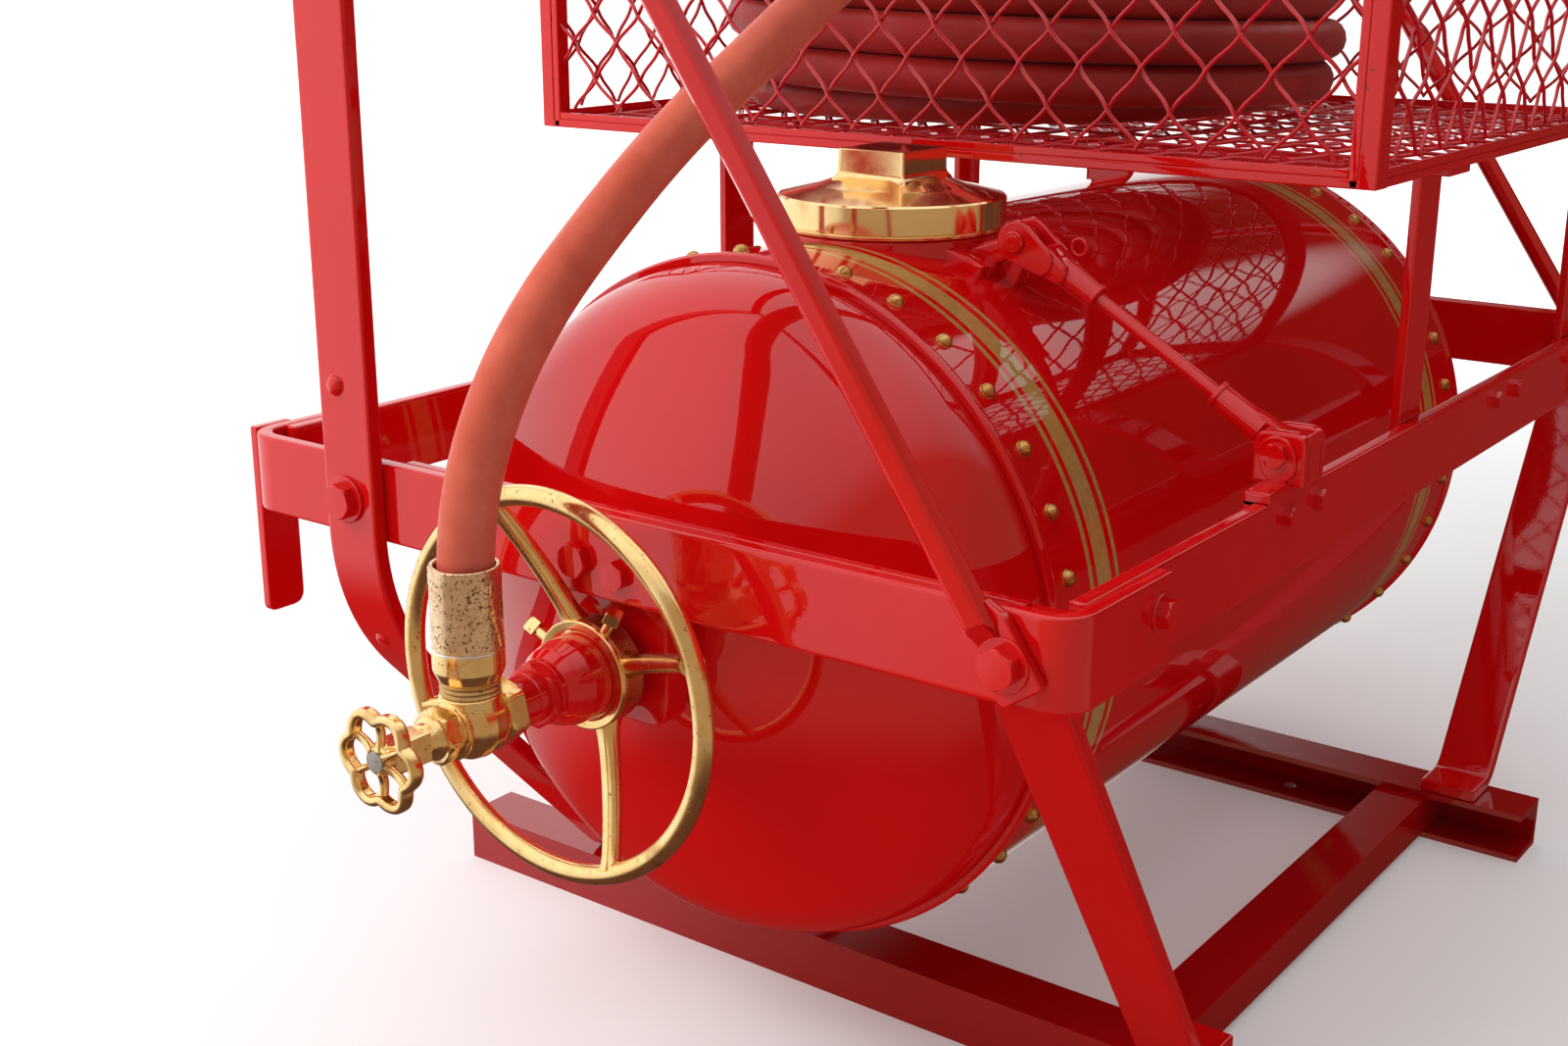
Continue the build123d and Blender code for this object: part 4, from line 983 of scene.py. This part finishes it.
boss = [(0, -0.02, 0), (0.024, -0.02, 0), (0.024, 0.0130, 0), (0.0318, 0.0130, 0.001),
        (0.0316, 0.0340, 0.008), (0.0283, 0.0455, 0.004), (0.0235, 0.0530, 0.002), (0.0235, 0.0580, 0.001),
        (0, 0.058, 0)]
boss = lathed(outwards(NEAR, boss), steps=6, **TANK_AXIS)
near_trunnion = merge(boss, trunnion((0.024, -0.61, 0), (0, -0.61, 0)))
piece("trunnion_near_dressed", near_trunnion, red, "trunnion_near", "tank")
far_trunnion = trunnion((0.024, -0.5863, 0.0015), (0.022, -0.5863, 0), (0, -0.5863, 0))
piece("trunnion_far_dressed", mirrored(far_trunnion), red, "trunnion_far", "tank")
packing = nut((0, NEAR - 0.0570, AXIS_Z), -Y, 0.0212, 0.0100, turn=0.35, both=True, soft=0.95)
collar = [(0, 0.066, 0), (0.0190, 0.066, 0), (0.0188, 0.0725, 0.001), (0.0180, 0.0740, 0.001),
          (0.0186, 0.0755, 0.001), (0.0184, 0.0915, 0.001), (0, 0.0915, 0)]
collar = lathed(outwards(NEAR, collar), steps=5, **TANK_AXIS)
piece("packing_dressed", merge(packing, collar), red, "packing_hex", "tank")

# %% [markdown]
# ## Handwheel
#
# A cast brass wheel. Its rim is a round section carried round a circle. Each spoke is a bar that swells where
# it runs into the hub and the rim, which gives the soft joints of a casting without any boolean cut.

# %% Handwheel
RIM_Y = NEAR - 0.046
WHEEL_R = 0.1385
ring = [(0.030, 0.011, 0), (0.0395, 0.011, 0.001), (0.0414, 0.0130, 0.002), (0.0406, 0.0170, 0.0015),
        (0.0345, 0.0160, 0.001), (0.0325, 0.0142, 0.001), (0.030, 0.0142, 0)]
barrel = [(0.024, -0.0115, 0), (0.036, -0.0115, 0.002), (0.0396, -0.007, 0.004), (0.0402, 0.0115, 0.001),
          (0.024, 0.0115, 0)]
barrel = lathed(outwards(NEAR, barrel), True, 5, **TANK_AXIS)
piece("hub_barrel", barrel, dull_brass, body="tank")
turn = np.linspace(0, 2 * np.pi, 180, endpoint=False)
rim = np.column_stack([WHEEL_R * np.cos(turn), np.full(180, RIM_Y), AXIS_Z + WHEEL_R * np.sin(turn)])
wheel = [sweep(rim, circle(0.0076, 20), Y, closed=True), lathed(outwards(NEAR, ring), True, 5, **TANK_AXIS)]
s = np.linspace(0, 1, 26)
spoke_size = 1.46 - 0.26 * s + 0.75 * np.exp(-s / 0.055) + 0.50 * np.exp(-(1 - s) / 0.045)
for angle in (20, 112, 200, 292):
    start = np.array((0, NEAR - 0.004, AXIS_Z)) + way(angle) * 0.036
    finish = np.array((0, RIM_Y, AXIS_Z)) + way(angle) * (WHEEL_R - 0.001)
    bow = 0.0035 * np.sin(np.pi * s)[:, None] * Y
    wheel.append(sweep(start + (finish - start) * s[:, None] + bow, circle(0.0054, 20), Y, spoke_size))
piece("handwheel_dressed", merge(*wheel), metals["wheel_brass"], "handwheel", "tank", 60)
screws = []
for angle, turn, distance, high in ((60.2, 0.3, 0.0105, 0.0118), (156.3, 0.1, 0.0080, 0.0128)):
    out = way(angle)
    base = np.array((0, NEAR - distance, AXIS_Z)) + out * 0.0395
    screws.append(turned([(0, 0), (0.0042, 0), (0.0042, high + 0.001), (0, high + 0.001)], base, out, 24))
    screws.append(nut(base + out * high, out, 0.0056, 0.0090, sides=4, turn=turn))
piece("set_screws", merge(*screws), brass, body="tank")

# %% [markdown]
# ## Filler neck and cap
#
# The cap is turned, but its square boss isn't. The boss is a stack of round-cornered squares that shrinks
# towards its top and flares into the cone at its foot.

# %% Filler neck and cap
NECK_TOP = AXIS_Z + TANK_R + 0.0225
BAND_TOP = NECK_TOP + 0.0003 + 0.0067
CONE_TOP = BAND_TOP + 0.016
neck = [(0.076, -0.06, 0), (0.092, -0.06, 0), (0.092, -0.021, 0.003), (0.0855, -0.017, 0.003),
        (0.084, -0.012, 0), (0.084, 0, 0.001), (0.076, 0, 0.001)]
neck = lathed(neck, True, origin=(0, FILL_Y, NECK_TOP), segments=128)
piece("neck_dressed", neck, red, "filler_neck", "tank")
cap = [(0, -0.0067, 0), (0.0845, -0.0067, 0), (0.0845, -0.026, 0), (0.0935, -0.026, 0.0006),
       (0.094, -0.0235, 0.0005), (0.0932, -0.0228, 0.0004), (0.094, -0.022, 0.0005), (0.094, -0.001, 0.0008),
       (0.0925, 0.0006, 0.001), (0.062, 0.0075, 0.03), (0.040, 0.015, 0.01), (0, 0.016, 0)]
cap = lathed(cap, steps=6, origin=(0, FILL_Y, BAND_TOP), segments=160)


def square_ring(up, half, radius):
    """Square with round corners at a height over the cone's top."""
    outline = round_rectangle(2 * half, 2 * half, radius)
    return np.column_stack([outline + (0, FILL_Y), np.full(len(outline), CONE_TOP + up)])


levels = [(-0.006, 0.0368, 0.002), (-0.0022, 0.0354, 0.0018), (-0.0004, 0.0339, 0.0016),
          (0.0014, 0.0329, 0.0015), (0.0036, 0.0324, 0.0014), (0.0195, 0.0321, 0.0014),
          (0.0207, 0.0317, 0.0014), (0.021, 0.0310, 0.0014)]
square_boss = skin(np.stack([square_ring(*level) for level in levels]))
piece("cap_dressed", merge(cap, square_boss), metals["cap_brass"], "filler_cap", "cap", 35)

# %% [markdown]
# ## Lock
#
# A lug on the tank, a rod with a fork at each end and a bracket that hooks over the front rail. The flat
# forgings are outlines made of two round ends and their tangents, thickened across the rod.

# %% Lock rod
LUG_ANGLE = math.radians(64.4)
foot_pin = np.array((0.362, RAIL_TOP + 0.0263))
lug_pin = np.array((math.cos(LUG_ANGLE), math.sin(LUG_ANGLE))) * (TANK_R + 0.0347) + (0, AXIS_Z)
along = unit(lug_pin - foot_pin)
length = np.linalg.norm(lug_pin - foot_pin)


def on_rod(t):
    """Point (x, y, z) on the rod's line, t from the foot pin."""
    p = foot_pin + along * t
    return np.array((p[0], LOCK_Y, p[1]))


def flat_link(t0, t1, r0, r1, y, thick, edge):
    """Flat forging between two places on the rod's line, with round ends."""
    return slab(link(on_rod(t0)[[0, 2]], on_rod(t1)[[0, 2]], r0, r1), LOCK_Y + y, thick, edge)


def socket(t0, t1, lip, r0, r1):
    """Tapered socket from t0 to t1 with a raised ring at its lip."""
    path = np.stack([on_rod(t) for t in np.linspace(t0, t1, 6)])
    body = sweep(path, circle(1.0, 36), Y, np.linspace(r0, r1, 6), edge=0.001)
    rim = r1 + 0.0014
    ring = lathed([(0, 0, 0), (rim, 0, 0.0012), (rim, 0.0045, 0.0012), (0, 0.0045, 0)], origin=on_rod(lip),
                  axis=(along[0], 0, along[1]), segments=40)
    return [body, ring]


def pin(place, y0, y1, radius):
    """Round pin across the rod at a place (x, z), between two distances from its middle."""
    ends = [(place[0], LOCK_Y + y0, place[1]), (place[0], LOCK_Y + y1, place[1])]
    return sweep(ends, circle(radius, 32), Z, edge=0.001)


tongue = flat_link(0, 0.030, 0.0150, 0.0112, -0.007, 0.014, 0.003)
body = flat_link(length - 0.026, length - 0.042, 0.0115, 0.0090, -0.0135, 0.027, 0.004)
tines = [flat_link(length, length - 0.026, 0.0162, 0.0112, y, 0.008, 0.0022) for y in (-0.0155, 0.0075)]
bar = sweep([on_rod(0.03), on_rod(length - 0.04)], circle(0.0057, 32), Y, edge=0.001)
sockets = socket(0.0245, 0.066, 0.0645, 0.0112, 0.0100)
sockets += socket(length - 0.040, length - 0.076, length - 0.078, 0.0112, 0.0094)
pins = [pin(lug_pin, -0.019, 0.019, 0.006), pin(lug_pin, -0.0185, -0.0155, 0.0085)]
turn = np.linspace(0, 2 * np.pi, 40, endpoint=False)[:, None]
split_ring = on_rod(length - 0.036) + (0.012, 0.010, 0.015) + 0.0064 * (np.cos(turn) * X + np.sin(turn) * Z)
split_ring = sweep(split_ring, circle(0.0012, 10), Y, closed=True)
rod = merge(tongue, body, *tines, bar, *sockets, *pins, split_ring)
piece("lock_rod_dressed", rod, red, "lock_rod", "rod")


# %% Lug
def around_tank(up, ahead):
    """Point (x, z) above the middle of the lug's pad, and along it towards the front."""
    a = math.radians(68) - ahead / TANK_R
    return np.array(((TANK_R + up) * math.cos(a), AXIS_Z + (TANK_R + up) * math.sin(a)))


def pad_piece(behind, ahead, y0, y1):
    """Flat piece that follows the tank's curve, 9 mm high, between two places round it and two along it."""
    low = [around_tank(-0.004, s) for s in np.linspace(behind, ahead, 9)]
    high = [around_tank(0.009, s) for s in np.linspace(ahead - 0.001, behind + 0.001, 9)]
    return slab(np.array(low + high), LOCK_Y + y0, y1 - y0, 0.0025)


pads = [pad_piece(-0.031, 0.010, -0.031, -0.019), pad_piece(-0.022, 0.012, -0.021, 0.016)]
outline = link(around_tank(0.002, 0.012), lug_pin + (-0.001, -0.001), 0.017, 0.0125)
ear = slab(outline, LOCK_Y - 0.006, 0.012, 0.0012)
outline = link(around_tank(0.004, -0.008), lug_pin - (0.006, 0.004), 0.012, 0.008)
web = slab(outline, LOCK_Y - 0.012, 0.024, 0.004)
piece("lug_dressed", merge(*pads, ear, web), red, "lock_lug", "tank")

# %% Bracket
HALF, CHEEK_T = 0.020, 0.0125
foot_x, foot_z = foot_pin
under = foot_z - 0.022
low, high = RAIL_TOP - 0.046, RAIL_TOP + 0.003
plate = block((CROSS_IN - 0.008, LOCK_Y - 0.042, low), (CROSS_IN, LOCK_Y + 0.054, high), 0.002)
x0, x1, low, high = CROSS_IN - 0.0085, CROSS_X + 0.0005, RAIL_TOP - 0.003, RAIL_TOP + 0.0085
outline = smooth_path([(x0, low, 0.001), (x0, high, 0.005), (x1, high, 0.005), (x1, low, 0.001)], True)
hook = slab(outline, LOCK_Y - 0.058, 0.077, 0.0035)
low, high = RAIL_TOP - 0.014, RAIL_TOP + 0.004
lip = block((x0, LOCK_Y - 0.0575, low), (CROSS_IN - 0.0002, LOCK_Y - 0.040, high), 0.003)
x0, x1, top = foot_x - HALF, foot_x + HALF, under + 0.040
outline = smooth_path([(x0, under, 0.003), (x1, under, 0.003), (x1, top, 0.010), (x0, top, 0.012)], True, 6)
cheeks = [slab(outline, y, CHEEK_T, 0.0028) for y in (LOCK_Y - HALF, LOCK_Y + HALF - CHEEK_T)]
near, far, low = LOCK_Y - 0.012, LOCK_Y + 0.012, under + 0.001
webs = [block((x0 + 0.001, near, low), (x1 - 0.001, far, foot_z - 0.0156), 0.001),
        block((x1 - 0.004, near, low), (x1, far, under + 0.038), 0.001)]
outline = link(foot_pin + (-0.001, 0.001), foot_pin + (0.001, -0.006), 0.0145, 0.0140)
eye = slab(outline, LOCK_Y - HALF - 0.0028, 0.004, 0.0018)
foot_bolt = [eye, pin(foot_pin, -0.0235, 0.0235, 0.006),
             nut((foot_x - 0.001, LOCK_Y - HALF - 0.0025, foot_z + 0.001), -Y, 0.0085, 0.0050, turn=0.2),
             nut((foot_x, LOCK_Y + HALF - 0.0005, foot_z), Y, 0.0092, 0.0055)]
piece("bracket_dressed", merge(plate, hook, lip, *cheeks, *webs, *foot_bolt), red, "lock_bracket")

# %% [markdown]
# ## Outlet
#
# Valve, lobed wheel and hose coupling. A brass valve is cast, and then turned where it is threaded, so its
# body is one soft profile with crisp hexagons on the same line.

# %% Valve
body = [(0, -0.053, 0), (0.0150, -0.053, 0), (0.0158, -0.029, 0.002), (0.0175, -0.024, 0.003),
        (0.0195, -0.020, 0.006), (0.0245, -0.010, 0.008), (0.0252, 0.0, 0.008), (0.0240, 0.009, 0.006),
        (0.0185, 0.016, 0.002), (0.0195, 0.0175, 0.001), (0.0205, 0.0185, 0.001), (0.0205, 0.0215, 0.001),
        (0.0175, 0.0225, 0.001), (0.0175, 0.0245, 0.001), (0.0150, 0.038, 0.001), (0.0125, 0.041, 0.002),
        (0.0118, 0.046, 0.002), (0.0075, 0.048, 0.001), (0.0075, 0.060, 0), (0, 0.060, 0)]
hexes = [nut((0, NEAR - 0.0910, AXIS_Z), -Y, 0.0218, 0.0160, turn=0.30, both=True),
         nut((0, VALVE_Y - 0.024, AXIS_Z), -Y, 0.0172, 0.013, turn=0.15, both=True),
         nut((0, VALVE_Y - 0.046, AXIS_Z), -Y, 0.0100, 0.031, sides=4, turn=0.78)]
nipple = [(0, 0, 0), (0.0225, 0.004, 0.004), (0.0212, 0.016, 0.003), (0.0212, 0.021, 0.002),
          (0.0165, 0.0235, 0.001), (0.0165, 0.031, 0), (0, 0.031, 0)]
OUTLET = (0, VALVE_Y, AXIS_Z)
body = lathed(outwards(VALVE_Y, body), steps=5, **TANK_AXIS)
valve = merge(body, *hexes, lathed(nipple, steps=5, origin=OUTLET))
piece("valve_dressed", valve, brass, "angle_valve", sharp=38)

# %% Lobed wheel
WHEEL_Y = VALVE_Y - 0.081
WHEEL_MIDDLE = np.array((0, WHEEL_Y, AXIS_Z))
LOBES = 6
turn = np.linspace(0, 2 * np.pi, 240, endpoint=False)
lobe = 0.0258 + 0.0070 * np.sqrt(np.cos(LOBES / 2 * turn) ** 2 + 0.03)
wave = 0.0004 * np.cos(LOBES * turn)
rim = WHEEL_MIDDLE + np.column_stack([lobe * np.cos(turn), wave, lobe * np.sin(turn)])
shapes = [sweep(rim, round_rectangle(0.0098, 0.0068, 0.0030, 4, 0), Y, closed=True)]
s = np.linspace(0, 1, 14)
size = 1.05 + 0.6 * np.exp(-s / 0.12) + 0.7 * np.exp(-(1 - s) / 0.09)
for k in range(LOBES):
    out = way((k + 0.5) * 360 / LOBES)
    arm = WHEEL_MIDDLE + out * (0.006 + 0.0225 * s[:, None]) + 0.0022 * Y * np.sin(np.pi * s[:, None])
    shapes.append(sweep(arm, circle(0.0025, 14) * (1.25, 1.0), Y, size))
hub = [(0, 0.0056, 0), (0.0102, 0.0056, 0.001), (0.0102, -0.001, 0.002), (0.008, -0.0020, 0.001),
       (0, -0.0020, 0)]
shapes.append(lathed(hub, steps=5, origin=WHEEL_MIDDLE, axis=Y))
piece("lobed_wheel", merge(*shapes), brass, "valve_wheel", sharp=50)
tip = nut(WHEEL_MIDDLE - 0.0012 * Y, -Y, 0.0072, 0.0040, turn=0.5)
piece("wheel_nut", tip, metals["grey_steel"])

# %% Coupling
swivel = [(0, 0.030, 0), (0.0190, 0.030, 0.001), (0.0215, 0.033, 0.003), (0.0244, 0.0395, 0.006),
          (0.0244, 0.0535, 0.0005), (0, 0.0535, 0)]
line = [(0, 0.0533, 0), (0.02445, 0.0533, 0.0004), (0.02445, 0.0550, 0.0004), (0, 0.0550, 0)]
sleeve = [(0, 0.0548, 0), (0.0244, 0.0548, 0.0005), (0.0240, 0.095, 0.02), (0.0244, 0.105, 0.004),
          (0.0240, 0.112, 0.002), (0.0205, 0.112, 0.0015), (0.0192, 0.106, 0), (0.0192, 0.085, 0),
          (0, 0.085, 0)]
piece("swivel", lathed(swivel, steps=5, origin=OUTLET), brass, "hose_coupling")
piece("ferrule_line", lathed(line, origin=OUTLET), metals["bright_ferrule"])
piece("sleeve", lathed(sleeve, steps=5, origin=OUTLET), metals["pitted_brass"])
crests = [(0.0208 - 0.0016 * abs(math.sin(k * math.pi / 6)), 0.0195 + 0.00058 * k) for k in range(22)]
piece("threads", turned([(0, 0.0195), *crests, (0, 0.0325)], OUTLET), dull_brass)

# %% [markdown]
# ## Basket
#
# The real basket is angle iron with framed panels of crimped wire set into it. Two bars with a narrow
# gap between them, and a strip behind the gap, give the fine dark line where frame and angle meet.

# %% Angle iron
GROOVE = 0.0007
ANGLE_T = 0.0032
LOW_LEG = 0.0068


def angle_iron(start, end, first, second, wide=0.022, deep=0.022, thick=ANGLE_T):
    """Bar with two legs, wide along first and deep along second, from the line between start and end."""
    corners = [(0, 0, 0.0014), (wide, 0, 0.0008), (wide, thick, 0.001), (thick, thick, 0.0022),
               (thick, deep, 0.001), (0, deep, 0.0008)]
    return prism(smooth_path(corners, True, 3), start, first, second, np.subtract(end, start), 0.0006)


def bar_pair(along, across, s, low, high, side, z, up, lift, inset):
    """One side of a ring: an angle, the panel frame on its upright leg, and the strip behind the groove."""
    def place(reach, inwards, rise):
        """Point at a reach along the bar, a way inwards from its face and a rise from the ring's face."""
        return along * reach + across * (side + s * inwards) + Z * (z + up * rise)

    legs = across * s, Z * up
    rise = LOW_LEG + GROOVE
    frame_ends = place(low + inset, 0, rise), place(high - inset, 0, rise)
    return [angle_iron(place(low, 0, lift), place(high, 0, lift), *legs, deep=LOW_LEG),
            angle_iron(*frame_ends, *legs, 0.0035, 0.0066),
            block(place(low + 0.001, 0.0009, 0.001), place(high - 0.001, 0.003, 0.013), 0.0002)]


def ring_bars(z, up):
    """Long and short bars of the bottom or top ring."""
    long_bars, short_bars = [], []
    for x, y, s in ((BX0, BY0, 1), (BX1, BY1, -1)):
        long_bars += bar_pair(X, Y, s, BX0 + 0.0004, BX1 - 0.0004, y + s * 0.0004, z, up, 0.0, 0.022)
        short_bars += bar_pair(Y, X, s, BY0 + 0.0040, BY1 - 0.0040, x + s * 0.0004, z, up, 0.0003, 0.018)
    return merge(*long_bars), merge(*short_bars)


def upright(x, y, sx, sy):
    """Corner post: an angle and beside its near leg the panel frame's own angle, with a gap between them."""
    foot, head = (x, y, BZ0 + 0.0005), (x, y, BZ1 - 0.0005)
    outer_leg, frame_at = 0.0140, 0.0218
    inner = np.array((sx * frame_at, sy * 0.0004, 0.0))
    frame_leg = frame_at - outer_leg - GROOVE
    strip = (x + sx * 0.0120, y + sy * 0.0012, foot[2]), (x + sx * 0.0170, y + sy * 0.0028, head[2])
    return [angle_iron(foot, head, sx * X, sy * Y, wide=outer_leg),
            angle_iron(foot + inner, head + inner, -sx * X, sy * Y, frame_leg, 0.015, 0.0025),
            block(*strip, 0.0002)]


for name, z, up in (("bottom", BZ0, 1), ("top", BZ1, -1)):
    long_bars, short_bars = ring_bars(z, up)
    piece(name + "_long", long_bars, red, f"basket_{name}_long")
    piece(name + "_short", short_bars, red, f"basket_{name}_short")
corners = [(x, y, sx, sy) for x, sx in ((BX0, 1), (BX1, -1)) for y, sy in ((BY0, 1), (BY1, -1))]
piece("uprights", merge(*[shape for corner in corners for shape in upright(*corner)]), red, "basket_uprights")
BEARER_W, BEARER_H = 0.047, 0.006
bearers, stays = [], []
for y in (NEAR + 0.593, NEAR + 1.040):
    low, end = BZ0 - BEARER_H, y + BEARER_W
    bearers.append(block((BX0 + 0.022, y, low), (BX1 - ANGLE_T, end, BZ0), 0.001))
    for s in (-1, 1):
        stays.append(block((s * CROSS_IN, y, RAIL_BOTTOM), (s * (CROSS_IN - 0.008), end, low), 0.0012))
piece("bearers", merge(*bearers), red, "basket_bearers")
piece("stays", merge(*stays), red, "basket_stays")

# %% [markdown]
# ## Mesh
#
# The panels are woven from crimped wire. A flat pattern with cut holes would be lighter, but it has no over
# and under. Here each wire is a thin tube whose depth follows a softened zigzag, so that rising and falling
# wires pass over and under each other in turn.

# %% Mesh panels
PITCH, RISE = 0.0541, 0.0608
WIRE_R = 0.0017
CRIMP = 0.00185
SWAY = 0.0014
INSET = 2 * ANGLE_T + 0.0003
EDGE = INSET + ANGLE_T
SHORTEST = 0.03


def zigzag(k):
    """Softened zigzag between 1 and -1, with its turns at whole numbers."""
    return np.arcsin(0.93 * np.cos(np.pi * k)) / math.asin(0.93)


def mesh_panel(width, height, origin, x_dir, y_dir, step=0.004):
    """Rising and falling wires that meet at the panel's foot, each steeper where it crosses another."""
    out = np.cross(x_dir, y_dir)
    slope = RISE / PITCH
    reach = height / slope
    section = circle(WIRE_R, 8)
    shapes = []
    for i in range(-int(reach / PITCH) - 1, int((width + reach) / PITCH) + 2):
        start = (i + 0.5) * PITCH
        for side in (1, -1):
            u0, u1 = sorted((start, start + side * reach))
            u0, u1 = max(u0, 0.0), min(u1, width)
            if u1 - u0 < SHORTEST:
                continue
            along = np.linspace(u0, u1, max(int((u1 - u0) * 1.7 / step), 4))
            crossings = np.abs(along - start) / (PITCH / 2)
            v = crossings * PITCH / 2 * slope + 0.0004 * np.sin(37 * along + 5 * i)
            u = along - side * SWAY * np.sin(2 * np.pi * crossings)
            depth = CRIMP * side * zigzag(crossings)
            path = np.asarray(origin) + u[:, None] * x_dir + v[:, None] * y_dir + depth[:, None] * out
            shapes.append(sweep(path, section, out))
    return merge(*shapes)


x0, y0, foot = BX0 + EDGE, BY0 + EDGE, BZ0 + 0.017
wide, deep, high = BX1 - BX0 - 2 * EDGE, BY1 - BY0 - 2 * EDGE, 0.156
panels = (
    ("near", wide, high, (x0, BY0 + INSET, foot), X, Z),
    ("far", wide, high, (x0, BY1 - INSET, foot), X, Z),
    ("rear", deep - 0.016, high, (BX0 + INSET, y0 + 0.008, foot), Y, Z),
    ("front", deep - 0.016, high, (BX1 - INSET, y0 + 0.008, foot), Y, Z),
    ("floor", wide, deep, (x0, y0, BZ0 + INSET), X, Y),
)
for name, *sizes in panels:
    piece(f"mesh_{name}_wire", mesh_panel(*sizes), wire_red, f"mesh_{name}", sharp=80)

# %% [markdown]
# ## Bolts
#
# Heads and nuts where the photograph shows them, and their mirror images on the far side. Each is its own
# small shape, since a hexagon with round corners catches a glint that a plain six-sided one doesn't.

# %% Bolts
NEAR_FACE = NEAR - 0.0127
POST_BOLT = (-0.2446, NEAR_FACE, AXIS_Z + 0.0874)
post_rivet = dome((-0.2495, NEAR_FACE, AXIS_Z + 0.177), -Y, 0.0078, 0.0052)
post_bolt = bolt(POST_BOLT, -Y, 0.0125, 0.009, 0.2, 0.003)
both_sides = [
    bolt((0.342, NEAR - 0.009, AXIS_Z + 0.084), -Y, 0.0122, 0.009, 0.45, 0.0015),
    bolt((-0.0150, NEAR, AXIS_Z + 0.0802), -Y, 0.0118, 0.008, 0.2),
    bolt((0.0226, NEAR, AXIS_Z + 0.0752), -Y, 0.0100, 0.007, 0.5),
    bolt((CROSS_X, NEAR + 0.3385, AXIS_Z + 0.101), X, 0.007, 0.006),
    bolt((CROSS_X, NEAR + 0.3955, AXIS_Z + 0.101), X, 0.007, 0.006, 0.6),
    bolt((SIDE_X, NEAR + 0.112, AXIS_Z + 0.0935), X, 0.009, 0.008, 0.1, 0.002),
    bolt((-SIDE_X - PLATE_T, NEAR + 0.034, AXIS_Z + 0.090), -X, 0.009, 0.007, 0.1),
    dome((-0.2445, NEAR + 0.0139, AXIS_Z - 0.0363), (0, -0.86, -0.51), 0.0062, 0.0030),
]
far_heads = [dome(POST_BOLT, -Y, 0.0125, 0.0070), post_rivet, *both_sides]
heads = merge(post_rivet, post_bolt, *both_sides, *[mirrored(head) for head in far_heads])
piece("bolts", heads, red, sharp=30)

print("pieces", len(pieces))
